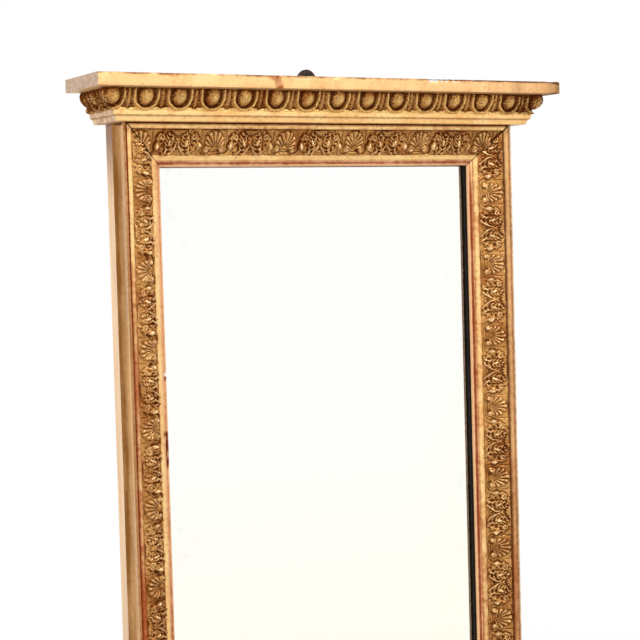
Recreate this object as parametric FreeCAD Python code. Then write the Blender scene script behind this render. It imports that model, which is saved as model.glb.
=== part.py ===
import FreeCAD
import Part
import os
from math import cos, pi, radians, sin
from FreeCAD import Vector

# A giltwood pier mirror: a mitred, ornamented frame under a cornice, hung from an iron eye plate.
# Millimetres. X runs to the right seen from the front, Y runs into the wall, Z runs up.
# The origin is the centre of the hanging eye on the wall plane, so the front faces -Y.

# Overall sizes
frame_width = 458.0
frame_height = 1016.0
fit_clearance = 0.5

# Frame moulding, seen in section: widths run inwards from the outer side, depths run out from the wall
back_depth = 16.0
cove_width = 28.0
cove_depth = 4.0
arris_side = 4.5
arris_face = 1.6
quirk_width = 1.75
quirk_depth = 3.0
fillet_width = 5.0
fillet_fall = 1.2
band_width = 25.9
band_fall = 11.7
band_sink = 3.0
band_thickness = 2.0
flat_width = 5.3
flat_rise = 1.0
flat_fall = 2.6
slip_width = 6.1
slip_fall = 4.4
slip_shoulder = 2.4
slip_shoulder_fall = 1.0
slip_quirk = 1.2
slip_round = 1.0

# Rebate, glass and back
lip_width = 3.5
glass_thickness = 3.0
glass_clearance = 1.0
sight_wall = 6.0
board_rebate_width = 10.0
board_thickness = 6.0
board_count = 3
board_chamfer = 1.2
block_gap = 2.6
block_length = 46.0
blocks_on_stile = 4
blocks_on_rail = 2

# Cornice, measured outwards from its core
slab_overhang = 41.0
slab_thickness = 13.0
slab_edge_ease = 0.8
egg_height = 20.0
egg_top_projection = 24.6
egg_foot_projection = 16.6
egg_top_fillet = 2.0
egg_foot_bead = 1.6
fascia_height = 5.7
fascia_projection = 16.4
cavetto_height = 5.7
cavetto_foot_projection = 10.4
cavetto_step = 0.9
bed_lip = 2.2
bed_lip_gap = 1.6

# Egg-and-dart carving of the ovolo
eggs_on_front = 15
egg_radius = 8.6
egg_sink = 3.2
egg_facets = 14
egg_root_angle = 22.5
egg_rings = 4
carving_root = 2.5
rim_radius = 11.6
rim_width = 1.9
rim_rise = 2.4
dart_half_width = 2.6
dart_rise = 2.0

# Shells and leaves pressed into the composition bands
shell_pitch = 79.0
shell_radius = 15.0
shell_rise = 3.2
shell_valley_radius = 13.0
shell_valley_rise = 1.6
shell_hub_rise = 2.2
shell_root = 0.5
shell_lobes = 7
leaf_length = 30.0
leaf_width = 17.0
leaf_notch = 0.6
leaf_tip_rise = 0.8
leaf_rise = 2.4
leaf_lobes = 6

# Hanging plate and fixings
plate_width = 22.0
plate_thickness = 2.5
plate_eye_radius = 4.0
plate_tail = 44.0
eye_rise = 5.0
screw_head_radius = 3.6
screw_shank_radius = 1.8
screw_point_gap = 1.65
screw_slot_width = 0.8
screw_slot_depth = 0.7
screw_offsets = (24.0, 37.0)
nail_head_width = 3.6
nail_head_thickness = 0.8
nail_shank_width = 1.8
board_nail_cover = 2.0
board_nails_on_stile = 4
nails_across_board = 2
board_nail_inset = 5.0
slab_nail_length = 30.0
slab_nail_count = 5
slab_nail_end_inset = 40.0

# Places worked out from the sizes above
half_width = frame_width / 2
slab_top = -eye_rise
slab_bottom = slab_top - slab_thickness
egg_bottom = slab_bottom - egg_height
bed_bottom = egg_bottom - fascia_height - cavetto_height
frame_top = bed_bottom + bed_lip
frame_bottom = frame_top - frame_height

arris_front = back_depth + cove_width + arris_side
fillet_start = arris_face + quirk_width
fillet_front = arris_front - fillet_fall
band_start = fillet_start + fillet_width
band_outer = fillet_front - band_sink
band_inner = band_outer - band_fall
band_end = band_start + band_width
flat_end = band_end + flat_width
flat_outer = band_inner + flat_rise
flat_inner = flat_outer - flat_fall
sight = flat_end + slip_width
sight_front = flat_inner - slip_fall
glass_front = sight_front - sight_wall
glass_back = glass_front - glass_thickness
block_leg = glass_back - board_thickness - block_gap
rebate = flat_end - lip_width
board_rebate = rebate - board_rebate_width
core_depth = fillet_front
slab_nail_row = core_depth / 2
screw_length = slab_nail_row - screw_point_gap
board_nail_length = back_depth - board_nail_cover
cutter_margin = 5.0


def section(start, *steps):
    """Face in the local YZ plane: a step is a corner, or a pair of points for an arc through the first."""
    here = Vector(0, *start)
    edges = []
    for step in steps + (start,):
        if isinstance(step[0], tuple):
            end = Vector(0, *step[1])
            edges.append(Part.Arc(here, Vector(0, *step[0]), end).toShape())
        else:
            end = Vector(0, *step)
            edges.append(Part.LineSegment(here, end).toShape())
        here = end
    return Part.Face(Part.Wire(edges))


def box(low, high):
    """Box between two corners."""
    size = Vector(*high) - Vector(*low)
    return Part.makeBox(size.x, size.y, size.z, Vector(*low))


def faceted(outlines):
    """Solid whose flat faces have the given corners."""
    faces = [Part.Face(Part.makePolygon(corners + corners[:1])) for corners in outlines]
    solid = Part.Solid(Part.Shell(faces))
    if solid.Volume < 0:
        solid.reverse()
    return solid


def ring_of_points(radius, height):
    """Corners of a level polygon round the local Z axis."""
    angles = [2 * pi * number / egg_facets for number in range(egg_facets)]
    return [Vector(radius * cos(angle), radius * sin(angle), height) for angle in angles]


def mitred(shape, length, start, end):
    """Cut a run's ends: -1 is an inside mitre, 0 a square end and 1 an outside mitre."""
    bounds = shape.BoundBox
    low = bounds.YMin - cutter_margin
    high = bounds.YMax + cutter_margin
    floor = bounds.ZMin - cutter_margin
    near = [Vector(-start * low, low, floor), Vector(length + end * low, low, floor)]
    far = [Vector(length + end * high, high, floor), Vector(-start * high, high, floor)]
    outline = near + far
    plan = Part.Face(Part.makePolygon(outline + outline[:1]))
    return shape.common(plan.extrude(Vector(0, 0, bounds.ZLength + 2 * cutter_margin)))


def straight_run(face, length):
    """Bar of a section, long enough at both ends for any mitre."""
    spare = face.BoundBox.YMax + cutter_margin
    bar = face.copy()
    bar.translate(Vector(-spare, 0, 0))
    return bar.extrude(Vector(length + 2 * spare, 0, 0))


def placed(shape, origin, run, across):
    """Move a run from local axes to its place: X along the run, Y across it."""
    rise = run.cross(across)
    matrix = FreeCAD.Matrix(
        run.x, across.x, rise.x, origin.x,
        run.y, across.y, rise.y, origin.y,
        run.z, across.z, rise.z, origin.z,
        0, 0, 0, 1)
    moved = shape.copy()
    moved.Placement = FreeCAD.Placement(matrix).multiply(shape.Placement)
    return moved


# The four sides of the frame: corner that a run starts from, its direction, the way inwards, its length
frame_sides = {
    "top": (Vector(half_width, 0, frame_top), Vector(-1, 0, 0), Vector(0, 0, -1), frame_width),
    "bottom": (Vector(-half_width, 0, frame_bottom), Vector(1, 0, 0), Vector(0, 0, 1), frame_width),
    "left": (Vector(-half_width, 0, frame_top), Vector(0, 0, -1), Vector(1, 0, 0), frame_height),
    "right": (Vector(half_width, 0, frame_bottom), Vector(0, 0, 1), Vector(-1, 0, 0), frame_height),
}

# The three sides of the cornice: start corner, direction, the way outwards, length and end cuts
cornice_sides = {
    "front": (Vector(half_width, -core_depth, 0), Vector(-1, 0, 0), Vector(0, -1, 0), frame_width, 1, 1),
    "left": (Vector(-half_width, -core_depth, 0), Vector(0, 1, 0), Vector(-1, 0, 0), core_depth, 1, 0),
    "right": (Vector(half_width, 0, 0), Vector(0, -1, 0), Vector(1, 0, 0), core_depth, 0, 1),
}


def frame_moulding_section():
    """Moulded member: scooped side, arris, quirk, fillet, seat of the ornament, gilded flat and rebate."""
    cove_middle = back_depth + cove_width / 2
    quirk_floor = arris_front - quirk_depth
    seat_outer = band_outer - band_thickness
    seat_inner = band_inner - band_thickness
    return section(
        (0, back_depth),
        ((cove_depth, cove_middle), (0, back_depth + cove_width)),
        (0, arris_front),
        (arris_face, arris_front),
        (arris_face, quirk_floor),
        (fillet_start, quirk_floor),
        (fillet_start, fillet_front),
        (band_start, fillet_front),
        (band_start, seat_outer),
        (band_end, seat_inner),
        (band_end, flat_outer),
        (flat_end, flat_inner),
        (flat_end, glass_front),
        (rebate, glass_front),
        (rebate, back_depth))


def band_section():
    """Composition strip that lies in the sloping seat of the moulding."""
    return section(
        (band_start, band_outer - band_thickness),
        (band_start, band_outer),
        (band_end, band_inner),
        (band_end, band_inner - band_thickness))


def slip_section():
    """Sight slip: a shoulder beside the gilded flat, a quirk, a rounded bead and a plain wall to the glass."""
    slip_top = flat_inner - slip_round
    shoulder_front = slip_top - slip_shoulder_fall
    shoulder_end = flat_end + slip_shoulder
    quirk_end = shoulder_end + slip_quirk
    quirk_floor = shoulder_front - slip_quirk
    swell = slip_round / 2
    middle = ((quirk_end + sight) / 2 + swell, (shoulder_front + sight_front) / 2 + swell)
    return section(
        (flat_end, glass_front),
        (flat_end, slip_top),
        (shoulder_end, shoulder_front),
        (shoulder_end, quirk_floor),
        (quirk_end, quirk_floor),
        (quirk_end, shoulder_front),
        (middle, (sight, sight_front)),
        (sight, glass_front))


def frame_members(face):
    """One mitred run of a section for each side of the frame."""
    members = {}
    for side, (corner, run, inwards, length) in frame_sides.items():
        bar = mitred(straight_run(face, length), length, -1, -1)
        members[side] = placed(bar, corner, run, inwards)
    return members


def shell():
    """Pleated scallop on the XY plane: ridges and valleys fan from a hub towards -Y."""
    hub_low = Vector(0, 0, -shell_root)
    hub_high = Vector(0, 0, shell_hub_rise)
    low = []
    high = []
    steps = 2 * shell_lobes
    for number in range(steps + 1):
        on_ridge = number % 2
        radius = shell_radius if on_ridge else shell_valley_radius
        rise = shell_rise if on_ridge else shell_valley_rise
        angle = pi * number / steps
        foot = Vector(radius * cos(angle), -radius * sin(angle), -shell_root)
        low.append(foot)
        high.append(foot + Vector(0, 0, shell_root + rise))
    outlines = [[hub_low] + low]
    outlines.append([hub_low, low[0], high[0], hub_high])
    outlines.append([hub_low, low[-1], high[-1], hub_high])
    for number in range(steps):
        outlines.append([hub_high, high[number], high[number + 1]])
        outlines.append([low[number], low[number + 1], high[number + 1], high[number]])
    return faceted(outlines)


def leaf():
    """Lobed leaf on the XY plane: ridges and notches fan from a raised heart, all the way round."""
    heart = Vector(0, 0, leaf_rise)
    low = []
    high = []
    steps = 2 * leaf_lobes
    for number in range(steps):
        reach = leaf_notch if number % 2 else 1
        rise = 0 if number % 2 else leaf_tip_rise
        angle = 2 * pi * number / steps
        foot = Vector(reach * leaf_length / 2 * cos(angle), reach * leaf_width / 2 * sin(angle), -shell_root)
        low.append(foot)
        high.append(foot + Vector(0, 0, shell_root + rise + leaf_tip_rise))
    outlines = [low]
    for number in range(steps):
        after = (number + 1) % steps
        outlines.append([heart, high[number], high[after]])
        outlines.append([low[number], low[after], high[after], high[number]])
    return faceted(outlines)


def ornament_bands():
    """Composition strips with a row of shells and, half-way between them, a row of leaves."""
    slope = Vector(0, band_width, -band_fall)
    tilt = FreeCAD.Rotation(Vector(0, 1, 0), slope)
    middle = Vector(0, (band_start + band_end) / 2, (band_outer + band_inner) / 2)
    hub = middle + slope.normalize() * (shell_radius / 2)
    one_shell = shell()
    one_shell.Placement = FreeCAD.Placement(hub, tilt)
    one_leaf = leaf()
    one_leaf.Placement = FreeCAD.Placement(middle, tilt)
    bands = {}
    for side, (corner, run, inwards, length) in frame_sides.items():
        pairs = round((length / 2 - band_start) / shell_pitch)
        strip = straight_run(band_section(), length)
        pressed = []
        for half_step in range(1 - 2 * pairs, 2 * pairs):
            copy = one_shell.copy() if half_step % 2 else one_leaf.copy()
            copy.translate(Vector(length / 2 + half_step * shell_pitch / 2, 0, 0))
            pressed.append(copy)
        bar = mitred(strip.multiFuse(pressed), length, -1, -1)
        bands[side] = placed(bar, corner, run, inwards)
    return bands


def back_frame():
    """Pine frame behind the moulding, half-lapped at the corners and rebated for the backboards."""
    lap = back_depth / 2
    opening = box(
        (-half_width + board_rebate, -board_thickness, frame_bottom + board_rebate),
        (half_width - board_rebate, 0, frame_top - board_rebate))
    members = {}
    for side, sign in (("left", -1), ("right", 1)):
        outer = sign * half_width
        inner = sign * (half_width - rebate)
        low_x, high_x = sorted((outer, inner))
        stile = box((low_x, -back_depth, frame_bottom), (high_x, 0, frame_top))
        for end_low, end_high in ((frame_bottom, frame_bottom + rebate), (frame_top - rebate, frame_top)):
            stile = stile.cut(box((low_x, -back_depth, end_low), (high_x, -lap, end_high)))
        members[side] = stile.cut(opening)
    for side, low_z in (("top", frame_top - rebate), ("bottom", frame_bottom)):
        rail = box((-half_width, -back_depth, low_z), (half_width, 0, low_z + rebate))
        for low_x in (-half_width, half_width - rebate):
            rail = rail.cut(box((low_x, -lap, low_z), (low_x + rebate, 0, low_z + rebate)))
        members[side] = rail.cut(opening)
    return members


def ovolo_ground():
    """Top and foot of the sloping ground that the eggs stand on."""
    top = Vector(0, egg_top_projection, slab_bottom - egg_top_fillet)
    foot = Vector(0, egg_foot_projection, egg_bottom + egg_foot_bead)
    return top, foot


def egg_moulding_section():
    """Moulding under the slab: a narrow fillet, the sloping ground and a bead at the foot."""
    top, foot = ovolo_ground()
    bead_front = foot.y + egg_foot_bead
    return section(
        (0, slab_bottom),
        (top.y, slab_bottom),
        (top.y, top.z),
        (foot.y, foot.z),
        (bead_front, foot.z),
        (bead_front, egg_bottom),
        (0, egg_bottom))


def egg_places(length, start, end):
    """Distance of each egg along a run, and the way it turns where it stands on a mitre."""
    top, foot = ovolo_ground()
    reach = (top.y + foot.y) / 2
    pitch = (frame_width + 2 * reach) / (eggs_on_front - 1)
    low = -reach if start else -egg_radius
    high = length + reach if end else length + egg_radius
    count = eggs_on_front if start and end else int((high - low) / pitch) + 1
    first = low if start else high - pitch * (count - 1)
    places = []
    for number in range(count):
        along = first + pitch * number
        turn = (1 if end and along > length else 0) - (1 if start and along < 0 else 0)
        places.append((along, turn))
    return places, pitch


def egg():
    """Egg as a facetted dome about the local Z axis, with its lowest ring under the ground."""
    root = radians(egg_root_angle)
    rings = []
    for level in range(egg_rings):
        latitude = (pi / 2 + root) * level / egg_rings - root
        rings.append(ring_of_points(egg_radius * cos(latitude), egg_radius * sin(latitude)))
    crown = Vector(0, 0, egg_radius)
    outlines = [rings[0]]
    for side in range(egg_facets):
        after = (side + 1) % egg_facets
        for lower, upper in zip(rings, rings[1:]):
            outlines.append([lower[side], lower[after], upper[after], upper[side]])
        outlines.append([rings[-1][side], rings[-1][after], crown])
    return faceted(outlines)


def egg_rim():
    """Raised rim round an egg, rooted in the ground."""
    depth = Vector(0, 0, rim_rise + carving_root)
    outlines = [ring_of_points(radius, -carving_root) for radius in (rim_radius, rim_radius - rim_width)]
    outer, inner = [Part.Face(Part.makePolygon(ring + ring[:1])).extrude(depth) for ring in outlines]
    return outer.cut(inner)


def dart(length):
    """Spearhead between two eggs, pointing down the ground."""
    top_left = Vector(-dart_half_width, length / 2, -carving_root)
    top_right = Vector(dart_half_width, length / 2, -carving_root)
    point = Vector(0, -length / 2, -carving_root)
    spear = Part.Face(Part.makePolygon([top_left, top_right, point, top_left]))
    return spear.extrude(Vector(0, 0, carving_root + dart_rise))


def egg_moulding(length, start, end):
    """One run of egg-and-dart: eggs in raised rims with darts between, the end eggs turned on the mitres."""
    top, foot = ovolo_ground()
    middle = (top + foot) * 0.5
    slope = foot - top
    outwards = Vector(0, -slope.z, slope.y).normalize()
    on_ground = FreeCAD.Rotation(Vector(1, 0, 0), slope * -1, outwards, "ZXY")
    places, pitch = egg_places(length, start, end)
    carving = []
    for number, (along, turn) in enumerate(places):
        facing = Vector(turn * outwards.y, outwards.y, outwards.z)
        centre = Vector(along, middle.y, middle.z) - facing * egg_sink
        on_mitre = FreeCAD.Rotation(Vector(0, 0, 1), facing)
        carving.append((egg(), centre, on_mitre if turn else on_ground))
        carving.append((egg_rim(), Vector(along, middle.y, middle.z), on_ground))
        if number:
            carving.append((dart(slope.Length), Vector(along - pitch / 2, middle.y, middle.z), on_ground))
    room = section(
        (cutter_margin, foot.z),
        (egg_top_projection + egg_radius, foot.z),
        (egg_top_projection + egg_radius, slab_bottom),
        (cutter_margin, slab_bottom))
    within = straight_run(room, length)
    whole = mitred(straight_run(egg_moulding_section(), length), length, start, end)
    for shape, place, turned in carving:
        shape.Placement = FreeCAD.Placement(place, turned)
        kept = mitred(shape.common(within), length, start, end)
        if kept.Solids:
            whole = whole.fuse(kept)
    return whole.removeSplitter()


def egg_mouldings():
    """Egg-and-dart runs of the cornice."""
    runs = {}
    for side, (corner, run, outwards, length, start, end) in cornice_sides.items():
        runs[side] = placed(egg_moulding(length, start, end), corner, run, outwards)
    return runs


def bed_mouldings():
    """Bed mould under the ovolo: a plain fascia, a step and a cavetto that laps over the frame."""
    step_z = egg_bottom - fascia_height
    cavetto_top = fascia_projection - cavetto_step
    reach = cavetto_top - cavetto_foot_projection
    diagonal = cos(pi / 4)
    cavetto_middle = (cavetto_top - reach * diagonal, bed_bottom + cavetto_height * diagonal)
    face = section(
        (0, egg_bottom),
        (fascia_projection, egg_bottom),
        (fascia_projection, step_z),
        (cavetto_top, step_z),
        (cavetto_middle, (cavetto_foot_projection, bed_bottom)),
        (bed_lip_gap, bed_bottom),
        (bed_lip_gap, frame_top),
        (0, frame_top))
    runs = {}
    for side, (corner, run, outwards, length, start, end) in cornice_sides.items():
        runs[side] = placed(mitred(straight_run(face, length), length, start, end), corner, run, outwards)
    return runs


def hanging_plate_blank():
    """Outline of the eye plate as a solid: round top, straight sides, square tail."""
    half = plate_width / 2
    wire = Part.Wire([
        Part.Arc(Vector(half, 0, 0), Vector(0, 0, half), Vector(-half, 0, 0)).toShape(),
        Part.LineSegment(Vector(-half, 0, 0), Vector(-half, 0, -plate_tail)).toShape(),
        Part.LineSegment(Vector(-half, 0, -plate_tail), Vector(half, 0, -plate_tail)).toShape(),
        Part.LineSegment(Vector(half, 0, -plate_tail), Vector(half, 0, 0)).toShape()])
    return Part.Face(wire).extrude(Vector(0, -plate_thickness, 0))


def hanging_screws():
    """Countersunk slotted screws that hold the plate to the core."""
    screws = []
    forward = Vector(0, -1, 0)
    for offset in screw_offsets:
        head_depth = screw_head_radius - screw_shank_radius
        place = Vector(0, 0, -offset)
        head = Part.makeCone(screw_head_radius, screw_shank_radius, head_depth, place, forward)
        shank = Part.makeCylinder(screw_shank_radius, screw_length, place, forward)
        screws.append(head.fuse(shank).removeSplitter())
    return screws


def slotted(screw):
    """Screw with its driving slot."""
    centre = screw.BoundBox.Center
    slot = box(
        (-screw_head_radius, -screw_slot_depth, centre.z - screw_slot_width / 2),
        (screw_head_radius, cutter_margin, centre.z + screw_slot_width / 2))
    return screw.cut(slot)


def nail(point, direction, length):
    """Square cut nail with a flat head, driven flush from a point."""
    head_half = nail_head_width / 2
    shank_half = nail_shank_width / 2
    head = box((-head_half, -head_half, 0), (head_half, head_half, nail_head_thickness))
    shank = box((-shank_half, -shank_half, 0), (shank_half, shank_half, length))
    whole = head.fuse(shank).removeSplitter()
    whole.Placement = FreeCAD.Placement(point, FreeCAD.Rotation(Vector(0, 0, 1), direction))
    return whole


def board_edges():
    """Left and right edge of each backboard, side by side across the rebate."""
    left = -half_width + board_rebate + fit_clearance
    width = (-2 * left - fit_clearance * (board_count - 1)) / board_count
    lefts = [left + number * (width + fit_clearance) for number in range(board_count)]
    return [(board_left, board_left + width) for board_left in lefts]


def backboard_nails():
    """Nails along the four edges of the backboards, into the back frame."""
    edge_x = half_width - board_rebate - board_nail_inset
    edge_top = frame_top - board_rebate - board_nail_inset
    edge_bottom = frame_bottom + board_rebate + board_nail_inset
    forward = Vector(0, -1, 0)
    places = []
    for left, right in board_edges():
        for number in range(nails_across_board):
            along = left + (right - left) * (2 * number + 1) / (2 * nails_across_board)
            places += [Vector(along, 0, edge_top), Vector(along, 0, edge_bottom)]
    for number in range(board_nails_on_stile):
        height = edge_bottom + (edge_top - edge_bottom) * (number + 1) / (board_nails_on_stile + 1)
        places += [Vector(-edge_x, 0, height), Vector(edge_x, 0, height)]
    return [nail(place, forward, board_nail_length) for place in places]


def slab_nails():
    """Nails down through the slab into the core."""
    span = frame_width - 2 * slab_nail_end_inset
    nails = []
    for number in range(slab_nail_count):
        along = -span / 2 + span * number / (slab_nail_count - 1)
        nails.append(nail(Vector(along, -slab_nail_row, slab_top), Vector(0, 0, -1), slab_nail_length))
    return nails


def glass_blocks():
    """Three-cornered softwood blocks glued in the rebate behind the glass."""
    corner = section(
        (rebate, glass_back),
        (rebate + block_leg, glass_back),
        (rebate, glass_back - block_leg))
    one_block = corner.extrude(Vector(block_length, 0, 0))
    blocks = []
    for side, (origin, run, inwards, length) in frame_sides.items():
        count = blocks_on_rail if length == frame_width else blocks_on_stile
        for number in range(count):
            copy = one_block.copy()
            copy.translate(Vector(length * (number + 1) / (count + 1) - block_length / 2, 0, 0))
            blocks.append(placed(copy, origin, run, inwards))
    return blocks


def cut_by(shape, cutters):
    """Shape with every cutter taken away."""
    return shape.cut(Part.makeCompound(cutters))


os.makedirs("parts", exist_ok=True)
parts = {}

screws = hanging_screws()
plate_blank = hanging_plate_blank()
eye = Part.makeCylinder(plate_eye_radius, plate_thickness, Vector(0, 0, 0), Vector(0, -1, 0))
parts["hanging_plate"] = cut_by(plate_blank, [eye] + screws)
parts["hanging_screws"] = Part.makeCompound([slotted(screw) for screw in screws])

nails_in_slab = slab_nails()
core_blank = box((-half_width, -core_depth, frame_top), (half_width, 0, slab_bottom))
parts["cornice_core"] = cut_by(core_blank, [plate_blank] + screws + nails_in_slab)

slab_half = half_width + slab_overhang
slab_blank = box((-slab_half, -core_depth - slab_overhang, slab_bottom), (slab_half, 0, slab_top))
edges_off_wall = [edge for edge in slab_blank.Edges if edge.BoundBox.YMin < 0]
slab_eased = slab_blank.makeChamfer(slab_edge_ease, edges_off_wall)
parts["cornice_slab"] = cut_by(slab_eased, [plate_blank] + nails_in_slab)
parts["slab_nails"] = Part.makeCompound(nails_in_slab)

for side, run in egg_mouldings().items():
    parts["egg_moulding_" + side] = run
for side, run in bed_mouldings().items():
    parts["bed_moulding_" + side] = run

frame_names = {"top": "top_rail", "bottom": "bottom_rail", "left": "left_stile", "right": "right_stile"}
for side, member in frame_members(frame_moulding_section()).items():
    parts[frame_names[side]] = member
for side, band in ornament_bands().items():
    parts["ornament_" + side] = band
for side, slip in frame_members(slip_section()).items():
    parts["sight_slip_" + side] = slip

nails_in_boards = backboard_nails()
for side, member in back_frame().items():
    parts["back_frame_" + side] = cut_by(member, nails_in_boards)

glass_half = half_width - rebate - glass_clearance
parts["mirror_glass"] = box(
    (-glass_half, -glass_front, frame_bottom + rebate),
    (glass_half, -glass_back, frame_top - rebate - 2 * glass_clearance))
parts["glass_blocks"] = Part.makeCompound(glass_blocks())

for number, (left, right) in enumerate(board_edges()):
    board = box(
        (left, -board_thickness, frame_bottom + board_rebate + fit_clearance),
        (right, 0, frame_top - board_rebate - fit_clearance))
    back_edges = [edge for edge in board.Edges if edge.BoundBox.YMin > -fit_clearance]
    long_back_edges = [edge for edge in back_edges if edge.BoundBox.ZLength > board_thickness]
    board = board.makeChamfer(board_chamfer, long_back_edges)
    parts["backboard_%d" % (number + 1)] = cut_by(board, nails_in_boards)
parts["backboard_nails"] = Part.makeCompound(nails_in_boards)

for name, shape in parts.items():
    shape.exportStep("parts/" + name + ".step")
    print(name, len(shape.Solids), "solids", round(shape.Volume / 1000, 1), "cm3", shape.isValid())
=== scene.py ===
# %% [markdown]
# # A giltwood pier mirror
#
# This lesson dresses the CAD model of an old gilded mirror: a flat cornice over egg-and-dart carving, a
# moulded frame with a band of pressed shells and leaves, and a silvered glass. The CAD model gives every
# place and size. Blender gives the fine relief, the worn leaf, the bare wood and the light.
#
# First the CAD frame is loaded.

# %% Load the CAD frame
from math import cos, pi, radians, sin

import bpy
import numpy as np
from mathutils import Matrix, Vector


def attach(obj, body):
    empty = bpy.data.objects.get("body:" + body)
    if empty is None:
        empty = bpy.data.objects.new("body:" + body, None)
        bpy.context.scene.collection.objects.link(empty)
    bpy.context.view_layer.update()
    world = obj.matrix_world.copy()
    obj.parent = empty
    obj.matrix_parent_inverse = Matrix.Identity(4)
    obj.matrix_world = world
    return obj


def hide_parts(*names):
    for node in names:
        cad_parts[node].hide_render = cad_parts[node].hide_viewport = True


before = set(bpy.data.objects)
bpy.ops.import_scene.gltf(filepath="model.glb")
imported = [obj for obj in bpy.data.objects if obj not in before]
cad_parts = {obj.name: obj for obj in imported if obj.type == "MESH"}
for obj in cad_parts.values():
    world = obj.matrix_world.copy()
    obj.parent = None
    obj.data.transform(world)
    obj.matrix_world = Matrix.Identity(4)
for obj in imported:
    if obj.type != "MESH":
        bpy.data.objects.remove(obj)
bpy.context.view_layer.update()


# %% [markdown]
# ## Colours and unevenness
#
# Colours are easiest to choose as they look on a screen, from 0 to 255, but a shader wants linear light,
# so one function translates. Nothing on a hand-made frame is dead straight either. A little smooth noise,
# the same on every run, gives the places where leaf is thin, an edge is soft or a strip was pressed
# unevenly.

# %% Colour and noise helpers
mm = 0.001
scatter = np.array([73856093, 19349663, 83492791])
stir = 1274126177
levels, half_levels = 10007, 5003.0


def seen(red, green, blue):
    """Linear colour from the red, green and blue that the eye sees on a screen, 0 to 255."""
    shares = [value / 255 for value in (red, green, blue)]
    linear = [share / 12.92 if share <= 0.04045 else ((share + 0.055) / 1.055) ** 2.4 for share in shares]
    return (*linear, 1.0)


def eased(value, low, high):
    """0 below low, 1 above high, and a smooth climb between."""
    share = np.clip((value - low) / (high - low), 0, 1)
    return share * share * (3 - 2 * share)


def unevenness(places, size, seed):
    """Smooth noise from -1 to 1 at places in millimetres, with lumps about that size."""
    cell = places / size + 31.7 * seed
    low = np.floor(cell).astype(np.int64)
    part = eased(cell - low, 0, 1)
    total = np.zeros(places.shape[:-1])
    for corner in range(8):
        step = np.array([corner & 1, corner >> 1 & 1, corner >> 2 & 1])
        key = (low + step) @ scatter
        key = (key ^ (key >> 13)) * stir
        value = ((key >> 5) % levels) / half_levels - 1
        total += value * np.prod(np.where(step, part, 1 - part), axis=-1)
    return total


def spots(places, marks):
    """Soft round marks, each (x, y, z, radius, strength), with a ragged edge from the noise."""
    ragged = 1 + 0.45 * unevenness(places, 5, 3) + 0.35 * unevenness(places, 2, 4)
    strength = np.zeros(places.shape[:-1])
    for x, y, z, radius, most in marks:
        distance = np.linalg.norm(places - np.array([x, y, z]), axis=-1) / radius
        strength = np.maximum(strength, most * eased(ragged - distance, 0, 0.5))
    return strength


print("mid grey as linear light:", [round(value, 3) for value in seen(128, 128, 128)])

# %% [markdown]
# ## Shader arithmetic
#
# A finish is a sum of simple masks: thin leaf here, red clay there, dirt in the hollows. Nodes can hold
# that sum, but a page of node calls is hard to read. The small class below wraps one socket, so that
# masks can be added and multiplied as in ordinary Python, and each operator adds its Math node.

# %% A socket with operators
class Mask:
    """One output socket of a material; arithmetic on it adds Math nodes beside it."""

    def __init__(self, tree, socket=None):
        self.tree = tree
        self.socket = socket

    def node(self, kind, settings, sockets, output=0):
        """Adds a node: settings first, then a number, colour or mask for each socket."""
        made = self.tree.nodes.new(kind)
        for name, value in settings.items():
            setattr(made, name, value)
        for name, value in sockets.items():
            if isinstance(value, Mask):
                self.tree.links.new(value.socket, made.inputs[name])
            else:
                made.inputs[name].default_value = value
        return Mask(self.tree, made.outputs[output])

    def maths(self, operation, first, second):
        return self.node("ShaderNodeMath", {"operation": operation}, {0: first, 1: second})

    def __add__(self, other):
        return self.maths("ADD", self, other)

    __radd__ = __add__

    def __sub__(self, other):
        return self.maths("SUBTRACT", self, other)

    def __rsub__(self, other):
        return self.maths("SUBTRACT", other, self)

    def __mul__(self, other):
        return self.maths("MULTIPLY", self, other)

    __rmul__ = __mul__

    def climb(self, low, high):
        """0 below low, 1 above high, smooth between."""
        ends = {"Value": self, "From Min": low, "From Max": high}
        return self.node("ShaderNodeMapRange", {"interpolation_type": "SMOOTHSTEP"}, ends)

    def tint(self, below, above):
        """Colour that goes from below to above as this mask goes from 0 to 1."""
        settings = {"data_type": "RGBA", "clamp_factor": True}
        return self.node("ShaderNodeMix", settings, {0: self, 6: below, 7: above}, 2)


print("a", Mask.__name__, "adds, takes away, multiplies, climbs and tints")

# %% Parts of a finish
def start_finish(name):
    """A new material, a mask to start from, and its Principled shader."""
    material = bpy.data.materials.new(name)
    material.use_nodes = True
    shader = material.node_tree.nodes["Principled BSDF"]
    return material, Mask(material.node_tree), shader


def connect(start, shader, **sockets):
    """Feeds masks into the shader's sockets; an underscore in a name stands for a space."""
    for name, mask in sockets.items():
        start.tree.links.new(mask.socket, shader.inputs[name.replace("_", " ")])


def feature(start, name):
    """A number kept on the mesh, such as how sharp an edge is there."""
    return start.node("ShaderNodeAttribute", {"attribute_name": name}, {}, "Fac")


def clouds(start, across, detail=3.0, stretch=(1, 1, 1)):
    """Noise with patches about that many millimetres across, drawn out along an axis if asked."""
    place = start.node("ShaderNodeTexCoord", {}, {}, "Object")
    drawn = start.node("ShaderNodeVectorMath", {"operation": "MULTIPLY"}, {0: place, 1: stretch})
    texture = {"Vector": drawn, "Scale": 1 / (across * mm), "Detail": detail}
    return start.node("ShaderNodeTexNoise", {}, texture)


def raised(start, height, depth):
    """Normal of a surface whose height varies by about depth millimetres."""
    return start.node("ShaderNodeBump", {}, {"Height": height, "Distance": depth * mm, "Strength": 1.0})


print("finishes can read features and clouds, and raise a surface")
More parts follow.
